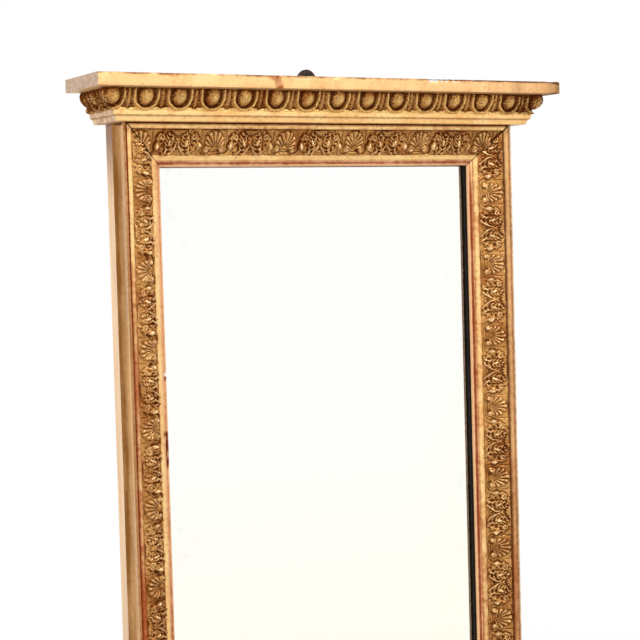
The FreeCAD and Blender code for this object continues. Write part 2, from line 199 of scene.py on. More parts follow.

# %% [markdown]
# ## Water gilding, old and worn
#
# The wood is coated with white gesso, then with red clay called bole, then with gold leaf that is
# burnished. Two centuries of dusting rub the leaf off the edges, so red shows there, and a knock goes
# through to the white. Dirt stays in the quirks. A painted picture could show all this, but it would blur
# close up and fit one size only. So one finish mixes the layers, led by numbers that each mesh carries:
# arris and quirk from its section, thin and bronze where the leaf was poor, rubbed, chipped, grime and
# dull from handling, and bare and black where there never was leaf. Bronze and grime also carry painted
# shade, a browner and darker gold where the frame stands in shade. Leaf reflects like metal, but over
# clay it also glows softly, so it is metallic only in part.

# %% Colours of old gilding
gold_bright = seen(254, 214, 146)
gold_warm = seen(250, 200, 130)
gold_thin = seen(226, 164, 104)
pink_gold = seen(238, 184, 142)
bronze_deep = seen(136, 88, 38)
bronze_light = seen(232, 182, 124)
bole_red = seen(178, 90, 46)
bole_deep = seen(140, 62, 28)
gesso_white = seen(244, 238, 226)
# the brown of dirt, used for painted shade as well
dirt_and_shade_brown = seen(84, 34, 2)
dust_mauve = seen(192, 173, 162)
dust_brown = seen(170, 142, 124)
bare_wood = seen(190, 154, 112)
bare_streak = seen(136, 98, 62)
lamp_black = seen(18, 6, 0)
print("bright gold as linear light:", [round(value, 3) for value in gold_bright])

# %% The gilding finish
def gilding():
    """Burnished leaf over red bole and gesso, rubbed on the edges, dirty in the quirks, with painted shade.
    """
    material, start, shader = start_finish("water_gilding")
    broad = clouds(start, 26)
    leaf = clouds(start, 5, 5.0)
    grit = clouds(start, 0.9, 2.0)
    arris = feature(start, "arris")
    quirk = feature(start, "quirk")
    bronze_and_shade = feature(start, "bronze_and_shade")
    dull = feature(start, "dull")
    bare = feature(start, "bare").climb(0.35, 0.65)
    black = feature(start, "black").climb(0.3, 0.7)

    gold = broad.climb(0.38, 0.66).tint(gold_bright, gold_warm)
    thin = (leaf + broad * 0.5 + arris * 0.12).climb(0.76, 1.0)
    gold = (thin * 0.4).tint(gold, gold_thin)
    gold = feature(start, "thin").tint(gold, pink_gold)
    scuffs = clouds(start, 6, 4.0, (1, 1, 0.07))
    # bronze tone, which in the cove and under the cornice is painted shade
    toned = (bronze_and_shade + (scuffs - 0.5) * 1.1 + (leaf - 0.5) * 0.3).tint(bronze_light, bronze_deep)
    gold = bronze_and_shade.climb(0.02, 0.2).tint(gold, toned)
    rub = (feature(start, "rubbed") + arris * 0.24 + leaf * 0.55 + broad * 0.3 - 0.46).climb(0.22, 0.95)
    colour = rub.tint(gold, grit.climb(0.35, 0.65).tint(bole_red, bole_deep))
    shabby = (dull + leaf * 0.5 - 0.25).climb(0.1, 0.75)
    colour = (shabby * 0.85).tint(colour, leaf.climb(0.35, 0.65).tint(dust_mauve, dust_brown))
    streak = clouds(start, 3, 4.0, (0.06, 1, 1))
    colour = bare.tint(colour, streak.climb(0.3, 0.7).tint(bare_wood, bare_streak))
    chip = (feature(start, "chipped") + grit * 0.2 - 0.1).climb(0.45, 0.55)
    colour = chip.tint(colour, gesso_white)
    fleck = clouds(start, 2.4, 2.0)
    fine_specks = (grit * 0.6 + leaf * 0.5).climb(0.66, 0.8) * 0.22
    speckle = fine_specks + (fleck + leaf * 0.2).climb(0.74, 0.8) * 0.32
    # dirt in the quirks and grime darken the gold, and so does the painted shade that grime carries
    dirt_and_shade = (quirk * 0.6 + feature(start, "grime_and_shade") + grit * 0.25 + leaf * 0.25 - 0.25).climb(0.15, 0.95)
    colour = (dirt_and_shade * 0.94 + speckle * (1 - dirt_and_shade)).tint(colour, dirt_and_shade_brown)
    colour = black.tint(colour, lamp_black)

    covered = (1 - rub) * (1 - chip) * (1 - dirt_and_shade) * (1 - black) * (1 - shabby) * (1 - bare)
    covered = covered * (1 - bronze_and_shade.climb(0.02, 0.3) * 0.75)
    roughness = 0.62 - covered * 0.24 + (leaf - 0.5) * 0.3
    height = leaf * 0.5 + grit * 0.3 - rub * 0.35 - chip * 0.6
    connect(start, shader, Base_Color=colour, Metallic=covered * 0.7, Roughness=roughness)
    connect(start, shader, Normal=raised(start, height, 0.2))
    shader.inputs["Specular IOR Level"].default_value = 0.1
    return material


water_gilding = gilding()
print("made", water_gilding.name, "with", len(water_gilding.node_tree.nodes), "nodes")

# %% [markdown]
# ## Gilded carving and pressed ornament
#
# On eggs, shells and leaves the gold is never burnished, and the relief holds a brown wash of size and
# dust. A shader can guess at hollows from the light that reaches them, but that depends on the view and
# the renderer. Here the mesh itself says where it is hollow and where it stands proud, so the dirt
# follows the relief exactly. Shade is painted into the hollows together with that dirt, and the parts
# that stand proud are painted lighter, as highlights.

# %% The carving finish
carving_gold = seen(214, 160, 92)
# lighter golds for the painted highlights on the crests
carving_highlight_gold = seen(252, 212, 152)
egg_highlight_gold = seen(254, 210, 128)
carving_brown = seen(174, 112, 54)
carving_shadow = seen(88, 36, 0)


def carving_gilding(name, light, gloss, dirtiness, stipple, grain):
    """Matt gilding on relief: painted highlights where it stands proud, dirt and painted shade in hollows.
    """
    material, start, shader = start_finish(name)
    broad = clouds(start, 34)
    leaf = clouds(start, 4, 5.0)
    grit = clouds(start, grain, 2.0)
    hollow_and_shade = feature(start, "hollow_and_shade")
    crest_highlight = feature(start, "crest_highlight")

    colour = broad.climb(0.35, 0.68).tint(carving_gold, carving_brown)
    # painted highlight: the crests are tinted towards the light colour
    colour = (crest_highlight * 0.75 + leaf * 0.5 - 0.3).climb(0.1, 0.8).tint(colour, light)
    rub = (feature(start, "rubbed") + crest_highlight * 0.2 + leaf * 0.6).climb(0.74, 0.95)
    colour = (rub * 0.5).tint(colour, bole_red)
    chip = (feature(start, "chipped") + grit * 0.2 - 0.1).climb(0.45, 0.55)
    colour = chip.tint(colour, gesso_white)
    # dirt and painted shade together darken the hollows towards the shadow brown
    darkening = hollow_and_shade + feature(start, "grime_and_shade") + (grit - 0.5) * stipple + (leaf - 0.5) * 0.6 + dirtiness
    carving_dirt_and_shade = darkening.climb(0.0, 1.0)
    colour = (carving_dirt_and_shade * 0.96).tint(colour, carving_shadow)

    covered = (1 - rub) * (1 - chip) * (1 - carving_dirt_and_shade)
    roughness = 0.58 - covered * 0.26 + (leaf - 0.5) * 0.25
    height = grit * 0.5 + leaf * 0.6 - chip * 0.5
    connect(start, shader, Base_Color=colour, Metallic=covered * 0.42, Roughness=roughness)
    connect(start, shader, Coat_Weight=covered * crest_highlight * gloss)
    connect(start, shader, Normal=raised(start, height, 0.3))
    shader.inputs["Specular IOR Level"].default_value = 0.06
    shader.inputs["Coat Roughness"].default_value = 0.22
    return material


pressed_gilding = carving_gilding("pressed_gilding", carving_highlight_gold, 0.6, 0.05, 1.5, 1.2)
egg_gilding = carving_gilding("egg_gilding", egg_highlight_gold, 0.15, 0.1, 3.0, 1.6)
print("made", pressed_gilding.name, "and", egg_gilding.name)

# %% [markdown]
# ## Meshes from grids
#
# Nearly every piece of a frame is a section carried along a run. A Blender curve with a bevel could do
# that, but it gives no hold on single points, and wear and mitres need them. So one grid of places makes
# each piece: columns along the run, rows round the section. The grid is closed into a solid with a face
# at each end. It also gets a flat layout of its own surface, cut into lengths that lie under each other,
# so that a long thin moulding still fits a square picture when its finish is baked.

# %% Faces of a grid
def closed_faces(flat, columns, rows):
    """Faces of the grid and its two ends, made to look outwards, and whether they had to be turned."""
    column, row = np.meshgrid(np.arange(columns - 1), np.arange(rows), indexing="ij")
    over = (row + 1) % rows
    here, ahead = column * rows, (column + 1) * rows
    quads = [here + row, ahead + row, ahead + over, here + over]
    faces = np.stack(quads, axis=-1).reshape(-1, 4)
    first = list(range(rows))[::-1]
    last = [(columns - 1) * rows + number for number in range(rows)]
    corners = flat[faces] - flat.mean(axis=0)
    volume = np.einsum("ij,ij->", np.cross(corners[:, 0], corners[:, 1]), corners[:, 2])
    volume += np.einsum("ij,ij->", np.cross(corners[:, 0], corners[:, 2]), corners[:, 3])
    if volume < 0:
        return faces[:, ::-1], first[::-1], last[::-1], True
    return faces, first, last, False


print("a grid is closed round its section and at both ends")

# %% Layout of a grid
layout_margin = 0.02
end_strip = 0.05


def stacked_lengths(columns, rows, shares, lengths):
    """Flat places of each grid face: the run cut into lengths, stacked one under another."""
    per_length = -(-(columns - 1) // lengths)
    column, row = np.meshgrid(np.arange(columns - 1), np.arange(rows), indexing="ij")
    which = column // per_length
    here = (column - which * per_length) / per_length
    step = 1 / per_length
    flat = np.empty((columns - 1, rows, 4, 2))
    for corner, (ahead, over) in enumerate(((0, 0), (1, 0), (1, 1), (0, 1))):
        along = here + ahead * step
        around = shares[row + over]
        flat[..., corner, 0] = layout_margin + along * (1 - end_strip - 2 * layout_margin)
        flat[..., corner, 1] = (which + layout_margin + around * (1 - 2 * layout_margin)) / lengths
    return flat.reshape(-1, 2)


def flat_layout(places, ends, turned):
    """Flat places of every face: the run in stacked lengths, and its two ends in a strip beside them."""
    columns, rows = places.shape[:2]
    section = places[columns // 2]
    around = np.linalg.norm(np.roll(section, -1, axis=0) - section, axis=1)
    shares = np.concatenate([[0], np.cumsum(around) / around.sum()])
    run = np.linalg.norm(np.diff(places[:, 0], axis=0), axis=1).sum()
    flat_faces = stacked_lengths(columns, rows, shares, max(1, round((run / around.sum()) ** 0.5)))
    if turned:
        flat_faces = flat_faces.reshape(-1, 4, 2)[:, ::-1].reshape(-1, 2)
    spread = np.ptp(section, axis=0)
    axes = np.argsort(spread)[-2:]
    shape = (section[:, axes] - section[:, axes].min(axis=0)) / spread[axes].max()
    strip = np.array([1 - end_strip + layout_margin / 2, layout_margin])
    caps = []
    for end, lift in zip(ends, (0.0, 0.5)):
        outline = shape[[index % rows for index in end]] * (end_strip - layout_margin)
        caps.append(strip + outline + np.array([0, lift]))
    return np.concatenate([flat_faces] + caps)


print("grids lie in lengths on the layout, with", end_strip, "of its width kept for the ends")

# %% Meshes and pieces
def grid_mesh(name, places, features):
    """Closed mesh from a grid of places in mm, columns along the run and rows round the section."""
    columns, rows = places.shape[:2]
    flat = places.reshape(-1, 3)
    faces, first, last, turned = closed_faces(flat, columns, rows)
    mesh = bpy.data.meshes.new(name)
    mesh.from_pydata((flat * mm).tolist(), [], faces.tolist() + [first, last])
    for feature_name, values in features.items():
        kept = mesh.attributes.new(feature_name, "FLOAT", "POINT")
        kept.data.foreach_set("value", np.broadcast_to(values, (columns, rows)).astype(np.float32).ravel())
    layer = mesh.uv_layers.new(name="OFBake")
    layer.data.foreach_set("uv", flat_layout(places, (first, last), turned).astype(np.float32).ravel())
    mesh.shade_smooth()
    for end in mesh.polygons[-2:]:
        end.use_smooth = False
    return mesh


def add_piece(name, mesh, finish, slot, *nodes):
    """Puts a mesh in the scene with its finish, on the mirror, in place of its CAD nodes."""
    piece = bpy.data.objects.new(name, mesh)
    bpy.context.collection.objects.link(piece)
    mesh.materials.append(finish)
    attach(piece, "root")
    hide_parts(*nodes)
    return piece


print("pieces ride on the root body and take the place of their CAD nodes")

# %% [markdown]
# ## Sections with eased corners
#
# A plane leaves crisp corners and gesso rounds them. A bevel modifier could round them too, but it would
# not say which corner is which. So a section is given as corners with a radius each, and every corner is
# eased with a short curve. The same step knows which corners stand out and which are sunk, and writes
# that down as arris and quirk for the finish.

# %% Eased sections
ease_steps = 5
most_of_edge = 0.48
sharp_turn = 0.9
feature_reach = 1.1


def eased_section(corners, spacing=2.0):
    """Points of a closed section of (across, out, radius) corners, and the arris and quirk at each."""
    corner_at = np.array([corner[:2] for corner in corners], float)
    radii = [corner[2] for corner in corners]
    after = np.roll(corner_at, -1, axis=0)
    area = (corner_at[:, 0] * after[:, 1] - corner_at[:, 1] * after[:, 0]).sum()
    points = []
    marks = []
    ends = []
    for index, corner in enumerate(corner_at):
        before = corner_at[index - 1] - corner
        beyond = after[index] - corner
        reach_in = before * min(radii[index] / np.linalg.norm(before), most_of_edge)
        reach_out = beyond * min(radii[index] / np.linalg.norm(beyond), most_of_edge)
        turn = np.arctan2(*(np.array([np.cross(-before, beyond), np.dot(-before, beyond)])))
        strength = turn * np.sign(area) / sharp_turn
        curve = np.linspace(0, 1, ease_steps)[:, None] if radii[index] else np.array([[0.5]])
        bend = corner + reach_in * (1 - curve) ** 2 + reach_out * curve ** 2
        ends.append((bend, strength))
    for index, (bend, strength) in enumerate(ends):
        for point in bend:
            points.append(point)
            marks.append(strength)
        onward = ends[(index + 1) % len(ends)][0][0] - bend[-1]
        pieces = int(np.linalg.norm(onward) / spacing) + 1
        for number in range(1, pieces):
            points.append(bend[-1] + onward * number / pieces)
            marks.append(0.0)
    points = np.array(points)
    marks = np.array(marks)
    distance = np.linalg.norm(points[:, None] - points[None], axis=-1)
    near = np.exp(-(distance / feature_reach) ** 2)
    arris = (near * np.clip(marks, 0, 1)[None]).max(axis=1)
    quirk = (near * np.clip(-marks, 0, 1)[None]).max(axis=1)
    return points, arris, quirk


print("corners are eased in", ease_steps, "steps")

# %% Scoops and mitred runs
scoop_steps = 8


def hollow_arc(start, end, depth):
    """Corners along a shallow scoop between two points of a section, sunk by depth in its middle."""
    start, end = np.array(start, float), np.array(end, float)
    shares = np.arange(1, scoop_steps) / scoop_steps
    sunk = depth * (1 - (2 * shares - 1) ** 2)
    line = start + (end - start) * shares[:, None]
    return [(across + sink, out, 0.0) for (across, out), sink in zip(line, sunk)]


def mitred_run(length, across, start, end, spacing, zone=64.0):
    """Distances along a run: even in its middle, and turned onto the mitre near each end."""
    close = np.array([0.0, 0.5, 1.1])
    inner = np.linspace(spacing / 2, length - spacing / 2, int(length / spacing))
    inner = inner[(inner > 2) & (inner < length - 2)]
    even = np.unique(np.concatenate([close, inner, length - close]))[:, None]
    near_start = np.clip(1 - even / zone, 0, 1)
    near_end = np.clip(1 - (length - even) / zone, 0, 1)
    return even + start * across * near_start - end * across * near_end


print("scoops have", scoop_steps, "steps")

# %% [markdown]
# ## The four members of the frame
#
# Stiles and rails are the same moulding: a scooped outer side called a cove, a thin arris, a dark quirk,
# a gilded fillet, a sloping seat for the ornament and a gilded flat. They are mitred at the corners, and
# the joints have opened a little as the wood shrank, most of all at the top right. Each member is swept
# by itself, so the open joints are real gaps. Under the cornice the top rail has no cove, because nothing
# would show it.

# %% Sizes and places of the frame
half_width = 229.0
frame_top = -47.2
frame_bottom = -1063.2
frame_width = 2 * half_width
frame_height = frame_top - frame_bottom
frame_sides = {
    "top": ((half_width, 0, frame_top), (-1, 0, 0), (0, 0, -1), frame_width),
    "bottom": ((-half_width, 0, frame_bottom), (1, 0, 0), (0, 0, 1), frame_width),
    "left": ((-half_width, 0, frame_top), (0, 0, -1), (1, 0, 0), frame_height),
    "right": ((half_width, 0, frame_bottom), (0, 0, 1), (-1, 0, 0), frame_height),
}
member_nodes = {"top": "top_rail", "bottom": "bottom_rail", "left": "left_stile", "right": "right_stile"}
upright_sides = ("left", "right")
back_depth = 16.0
cove_front, cove_depth = 44.0, 4.0
arris_front, quirk_floor = 48.5, 45.5
band_start, band_end = 8.35, 34.25
flat_end, slip_end = 39.55, 45.65
rebate_out = 20.6
member_spacing = 4.0


def on_frame(side, along, across, out):
    """Places on one side of the frame: distances along it, inwards from its edge, out from the wall."""
    corner, run, inwards, length = [np.array(value, float) for value in frame_sides[side]]
    forward = np.array([0.0, -1.0, 0.0])
    return corner + along[..., None] * run + across[..., None] * inwards + out[..., None] * forward


print("frame", frame_width, "by", frame_height, "mm")

# %% Wear of the frame
joint_gap = {"top": (0.6, 0.2), "bottom": (0.2, 0.2), "left": (0.2, 0.2), "right": (0.2, 0.6)}
joint_reach = 80.0
joint_columns = [0, 1, -2, -1]
out_of_true, nick_depth = 0.22, 0.5
chip_marks = [
    (208, -39, -68, 2.2, 1.0), (204, -37, -72.5, 1.8, 1.0), (213, -41, -64, 1.6, 0.9),
    (-225, -47, -55, 1.8, 1.0), (-222, -46, -57, 1.3, 0.9), (-185, -29, -301, 2.6, 1.0),
    (-186, -29, -356, 2.2, 1.0), (-184, -28, -392, 1.6, 0.9),
]
bruise_marks = [
    (-186, -29, -362, 4.5, 1.0), (-186, -29, -371, 5.0, 1.0), (-187, -29, -380, 5.5, 1.0),
    (-186, -29, -390, 5.0, 1.0), (-184, -28, -305, 3.0, 0.9),
]


def opened(side, along):
    """Distances along a member after its joints have opened."""
    gap_start, gap_end = joint_gap[side]
    near_start = np.clip(1 - along / joint_reach, 0, 1)
    near_end = np.clip(1 - (frame_sides[side][3] - along) / joint_reach, 0, 1)
    return along + gap_start * near_start - gap_end * near_end


def frame_member(side, points, arris, quirk):
    """Grid of places for one member, opened at its joints and out of true, and its basic features."""
    along = opened(side, mitred_run(frame_sides[side][3], points[None, :, 0], 1, 1, member_spacing))
    across = np.broadcast_to(points[None, :, 0], along.shape)
    out = np.broadcast_to(points[None, :, 1], along.shape)
    places = on_frame(side, along, across, out)
    sharp = np.broadcast_to(arris, along.shape)
    places = places + out_of_true * unevenness(places, 70, 1)[..., None] * np.array([0, 1, 0])
    nick = sharp * eased(unevenness(places, 9, 6), 0.45, 0.9)
    places[..., 1] += nick_depth * nick
    on_scoop = (out[:1] < cove_front) & (across[:1] < 5)
    at_joint = np.zeros(along.shape)
    at_joint[joint_columns] = np.where(on_scoop, 0.45, 1.0)
    features = {
        "arris": sharp * (0.75 + 0.25 * unevenness(places, 40, 2)),
        "quirk": np.broadcast_to(quirk, along.shape),
        "chipped": spots(places, chip_marks),
        "grime_and_shade": at_joint,
    }
    return places, across, out, features


print("open joints, mm:", joint_gap)

# %% [markdown]
# The gilding has not worn evenly. Hands and dusters took the leaf off the fillets first, most of all low
# on the left. The deep part of the cove and the right fillet have gone bronze, and dust lies in the
# middle of the cove. Shade is painted in as well: the back of the cove, the lower cove and right fillet,
# and the top rail under the cornice are made darker. Painting this by hand would have to be done again
# after every change of size. So each member is divided into zones by its section, and each kind of wear
# and shade is a sum over those zones.

# %% Zones of a member
def member_zones(across, out):
    """How far each point belongs to the cove, its front part, the arris, quirk, fillet and flat."""
    on_front = eased(out, 44.6, 45.3)
    return {
        "cove": eased(8.0 - across, 0, 2) * eased(quirk_floor - out, 0, 2),
        "front": eased(out, 17, 36),
        "arris": eased(2.2 - across, 0, 0.4) * eased(out, cove_front, 46),
        "quirk": eased(across, 1.5, 1.9) * eased(3.7 - across, 0, 0.3) * on_front,
        "fillet": eased(10.0 - across, 0, 1) * eased(across, 1.4, 2.2) * on_front,
        "flat": eased(across, 34, 35) * eased(out, 28, 30),
    }


print("zones of a member:", list(member_zones(np.zeros(1), np.zeros(1))))

# %% Rubbed leaf
fillet_wear = {"top": 0.26, "bottom": 0.4, "left": 0.68, "right": 0.3}
flat_wear = {"top": 0.0, "bottom": 0.0, "left": 0.8, "right": 0.95}
flat_rub = {"top": 0.0, "bottom": 0.1, "left": 0.0, "right": 0.36}
upper_wear = {"top": 1.0, "bottom": 1.0, "left": 0.3, "right": 0.6}
cove_wear, arris_wear, deep_wear, foot_wear = 0.12, 0.3, 0.8, 0.22


def rubbed_red(side, places, zone):
    """Where the leaf of a member is rubbed down to the red clay."""
    drop = -places[..., 2]
    lower = upper_wear[side] + (1 - upper_wear[side]) * eased(drop, 40, 380)
    low_wear = foot_wear * eased(drop, 380, 640) if side in upright_sides else 0.0
    wander = 0.14 * unevenness(places, 45, 7) + 0.08 * unevenness(places, 14, 5)
    worn = np.clip(fillet_wear[side] + wander + low_wear, 0, 1)
    rubbed = zone["fillet"] * lower * worn + cove_wear * lower * zone["cove"] * zone["front"]
    rubbed = rubbed + zone["flat"] * flat_wear[side] * low_wear
    if side != "right":
        rubbed = rubbed + arris_wear * zone["arris"]
    if side == "left":
        rubbed = np.maximum(rubbed, deep_wear * zone["quirk"])
    bruised = spots(places, bruise_marks) * zone["flat"]
    return np.maximum(rubbed + flat_rub[side] * zone["flat"], deep_wear * bruised)


print("wear of the fillets:", fillet_wear)

# %% Bronze, dust and dirt
# lip darkening runs along the step down into the ornament
lip_darkening = {"top": 0.3, "bottom": 0.3, "left": 0.6, "right": 0.6}
arris_bronze, cornice_shade_bronze, arris_dull = 0.6, 0.3, 0.45
cove_dust, dust_out, dust_width = 0.3, 33, 5
# strengths of the painted shade at the back of the cove and under the cornice
cove_back_shade, cornice_shade = 0.14, 0.65
drawn_out = np.array([0.2, 1.0, 0.2])


def bronzed_and_shaded(side, places, across, zone):
    """Bronze where the gold has toned, and bronze that is painted shade in the cove and under the cornice.
    """
    drop = -places[..., 2]
    # painted shade: the cove is gold at the front and dark bronze at the back, and less gold lower down
    front_gold = (0.85 - 0.25 * eased(drop, 420, 640)) * zone["front"]
    bronze_and_shade = zone["cove"] * (0.95 - front_gold + 0.15 * unevenness(places, 30, 8))
    if side == "right":
        # the right fillet is tarnished, and is painted darker lower down as shade
        tarnish = (0.25 + 0.5 * eased(across, 4.5, 7.5)) * (0.55 + 0.45 * eased(drop, 60, 600))
        return np.maximum(bronze_and_shade, tarnish * zone["fillet"])
    bronze_and_shade = np.maximum(bronze_and_shade, arris_bronze * zone["arris"])
    if side == "top":
        # painted shade of the cornice: the top fillet goes bronze next to the quirk
        bronze_and_shade = np.maximum(bronze_and_shade, zone["fillet"] * cornice_shade_bronze * eased(5.2 - across, 0, 1.2))
    return bronze_and_shade


def dusted(side, places, out, zone):
    """Dust in the middle of the cove, in streaks, and the dull arris of the right stile."""
    streaks = 1 + 1.6 * unevenness(places * drawn_out, 24, 11)
    dull = cove_dust * zone["cove"] * np.exp(-((out - dust_out) / dust_width) ** 2) * streaks
    return dull + arris_dull * zone["arris"] if side == "right" else dull


def dirtied_and_shaded(side, at_joint, across, out, zone):
    """Dirt in the joints, a darker lip, and painted shade at the back of the cove and under the cornice."""
    # painted shade of the cornice over the top rail's arris and quirk
    shade = cornice_shade * eased(3.75 - across, 0, 0.5) * eased(out, 44, 45) if side == "top" else 0.0
    lip = lip_darkening[side] * eased(8.9 - across, 0, 0.3) * eased(across, 7.0, 8.0)
    # painted shade at the back of the cove
    return np.clip(at_joint + shade + lip + cove_back_shade * zone["cove"] * (1 - zone["front"]), 0, 1)


print("dirt along the ornament:", lip_darkening)

# %% Moulded members
member_section, member_arris, member_quirk = eased_section(
    [(0, back_depth, 0.3)]
    + hollow_arc((0, back_depth), (0, cove_front), cove_depth)
    + [(0, cove_front, 0.8), (0, arris_front, 0.9), (1.6, arris_front, 0.7), (1.8, quirk_floor, 0.4),
       (3.3, quirk_floor, 0.4), (3.4, 47.5, 0.9), (band_start, 46.9, 1.0), (band_start, 42.3, 0.3),
       (band_end, 30.6, 0.3), (band_end, 33.6, 0.9), (flat_end, 31.0, 0.7), (flat_end, rebate_out, 0.2),
       (36.05, rebate_out, 0.2), (36.05, back_depth, 0.2)])
quirk_dirt = {"top": 0.4, "bottom": 0.7, "left": 0.3, "right": 0.5}

for side, node in member_nodes.items():
    section = member_section.copy()
    if side == "top":
        scooped = (section[:, 0] < cove_depth + 0.2) & (section[:, 1] < cove_front)
        section[scooped, 0] = 0.0
    places, across, out, features = frame_member(side, section, member_arris, member_quirk)
    zone = member_zones(across, out)
    features["quirk"] = features["quirk"] * quirk_dirt[side]
    features["rubbed"] = rubbed_red(side, places, zone)
    features["bronze_and_shade"] = bronzed_and_shaded(side, places, across, zone)
    features["dull"] = dusted(side, places, out, zone)
    features["grime_and_shade"] = dirtied_and_shaded(side, features["grime_and_shade"], across, out, zone)
    features["black"] = eased(across - 36.5, 0, 1) * eased(rebate_out + 0.3 - out, 0, 0.2)
    mesh = grid_mesh("moulded_" + node, places, features)
    add_piece("moulded_" + node, mesh, water_gilding, "gilt_wood", node)
    print("moulded", node, len(mesh.polygons), "faces")

# %% [markdown]
# ## The sight slip
#
# A narrow slip stands between the gilded flat and the glass. Beside the flat it has a worn shoulder, then
# a groove where the red clay shows, a rounded bead and a thin lip over the glass. Behind the lip it is
# undercut and painted black, so that its reflection in the glass would not show. A slip is planed by
# itself and sprung in, so it is swept as a strip of its own with a section of its own.

# %% Sight slips
slip_back, lip_out = 19.2, 26.9
undercut = 43.7
slip_section, slip_arris, slip_quirk = eased_section([
    (flat_end, slip_back, 0.0), (flat_end, 30.1, 0.4), (41.95, 29.1, 0.5), (42.0, 27.7, 0.3),
    (43.1, 27.7, 0.3), (43.15, 29.0, 0.6), (44.6, 28.6, 0.8), (slip_end, lip_out, 0.5),
    (slip_end, 26.0, 0.2), (undercut, 25.8, 0.2), (undercut, slip_back, 0.0)], 1.0)
slip_wear = {"top": 0.2, "bottom": 0.2, "left": 0.04, "right": 0.0}
shoulder_wear = {"top": 0.1, "bottom": 0.2, "left": 0.1, "right": 0.34}
groove_wear = {"top": 0.38, "bottom": 0.4, "left": 0.2, "right": 0.58}
slip_thin, slip_quirk_dirt, slip_foot_wear = 0.75, 0.35, 0.3

for side in frame_sides:
    places, across, out, features = frame_member(side, slip_section, slip_arris, slip_quirk)
    drop = -places[..., 2]
    in_groove = eased(43.9 - across, 0, 0.4) * eased(across, 40.3, 41.0)
    on_shoulder = eased(42.0 - across, 0, 0.3)
    lower = eased(drop, 70, 150) if side == "right" else 1.0
    low_wear = slip_foot_wear * eased(drop, 400, 640) if side == "left" else 0.0
    wander = 0.1 * unevenness(places, 60, 9) + 0.08 * unevenness(places, 16, 10)
    worn = slip_wear[side] + (shoulder_wear[side] * on_shoulder + groove_wear[side] * in_groove) * lower
    bruised = spots(places, bruise_marks)
    under_lip = eased(across, undercut, 44.0) * eased(45.6 - across, 0, 0.2) * eased(26.2 - out, 0, 0.2)
    features["thin"] = np.full(across.shape, slip_thin)
    features["rubbed"] = np.maximum(np.clip(worn + wander + low_wear, 0, 1), deep_wear * bruised)
    features["grime_and_shade"] = np.maximum(features["grime_and_shade"], 0.5 * bruised)
    features["quirk"] = features["quirk"] * slip_quirk_dirt
    features["black"] = eased(lip_out - out, 0, 0.5) * eased(across, 43.5, 43.65) * (1 - under_lip)
    features["dull"] = 1.2 * under_lip
    mesh = grid_mesh("slip_" + side, places, features)
    add_piece("slip_" + side, mesh, water_gilding, "gilt_wood", "sight_slip_" + side)
    print("slip", side, len(mesh.polygons), "faces")

# %% [markdown]
# ## The pressed ornament
#
# The band is not carved. Warm composition, a paste of chalk, glue and resin, was pressed in boxwood
# moulds and glued on in short lengths: a scallop shell, then a spray of leaves, then a shell again, with
# a fine seam at each joint. Sculpting it would be slow and hard to repeat, so the relief is drawn as a
# height map of half a repeat, mirrored about the shell. Every lobe, leaflet, volute and berry is a
# rounded ridge along a short curve, and where ridges meet the higher one wins, which gives the crisp
# creases of a mould.

# %% A sheet for the relief
shell_pitch = 79.2
middle = shell_pitch / 2
band_width, band_fall = 25.9, 11.7
band_slope = (band_width ** 2 + band_fall ** 2) ** 0.5
relief_step = 0.25
line_samples = 40
half_repeat = np.arange(0, middle + relief_step / 2, relief_step)
over_band = np.arange(0, band_slope + relief_step / 2, relief_step)
relief_along, relief_across = np.meshgrid(half_repeat, over_band, indexing="ij")


def bend_through(points, count=line_samples):
    """Even samples of the smooth curve with these control points."""
    level = np.repeat(np.array(points, float)[:, None], count, axis=1)
    share = np.linspace(0, 1, count)[:, None]
    while len(level) > 1:
        level = level[:-1] + (level[1:] - level[:-1]) * share
    return level[0]


def spray(points):
    """The same for points measured from the middle of the leaf spray."""
    return bend_through([(middle - along, across) for along, across in points])


def scroll(along, across, radii, turns):
    """Samples of a spiral from the first radius and turn to the last."""
    angle = 2 * pi * np.linspace(*turns, line_samples)
    reach = np.linspace(*radii, line_samples)
    return np.stack([along + reach * np.cos(angle), across + reach * np.sin(angle)], 1)


print("half a repeat is", relief_along.shape, "points of", relief_step, "mm")

# %% Ridges and grooves
ridge_roundness = 0.6


def square_reach(line):
    """Squares of every point's distances from the samples of a line."""
    return [(relief_along - along) ** 2 + (relief_across - across) ** 2 for along, across in line]


def ridge(field, line, widths, heights):
    """The relief with a rounded ridge on it; widths and heights run from the line's start to its end."""
    shares = np.linspace(0, 1, len(line))
    width = np.interp(shares, np.linspace(0, 1, len(widths)), widths)
    height = np.interp(shares, np.linspace(0, 1, len(heights)), heights)
    for square, half, high in zip(square_reach(line), width, height):
        field = np.maximum(field, high * np.clip(1 - square / half ** 2, 0, None) ** ridge_roundness)
    return field


def groove(field, line, half, depth):
    """The relief with a fine line cut into it."""
    return field - depth * np.exp(-np.min(square_reach(line), axis=0) / half ** 2) * eased(field, 0.5, 1.5)


print("ridges are rounded with the power", ridge_roundness)

# %% The scallop shell
hub = 20.6
shell_narrowing = 0.92
fan = 1 - (relief_along / 10.4) ** 2 - ((relief_across - 12.2) / 11.0) ** 2
relief = 0.6 + 1.2 * eased(fan, 0, 0.35)
lobe_turns = (0, 17, 35, 54, 75)
lobe_reaches = (19.4, 18.6, 16.4, 13.8, 11.4)


def from_hub(turn, reach):
    """The place at this distance from the shell's hub and this turn from its axis."""
    return shell_narrowing * reach * sin(radians(turn)), hub - reach * cos(radians(turn))


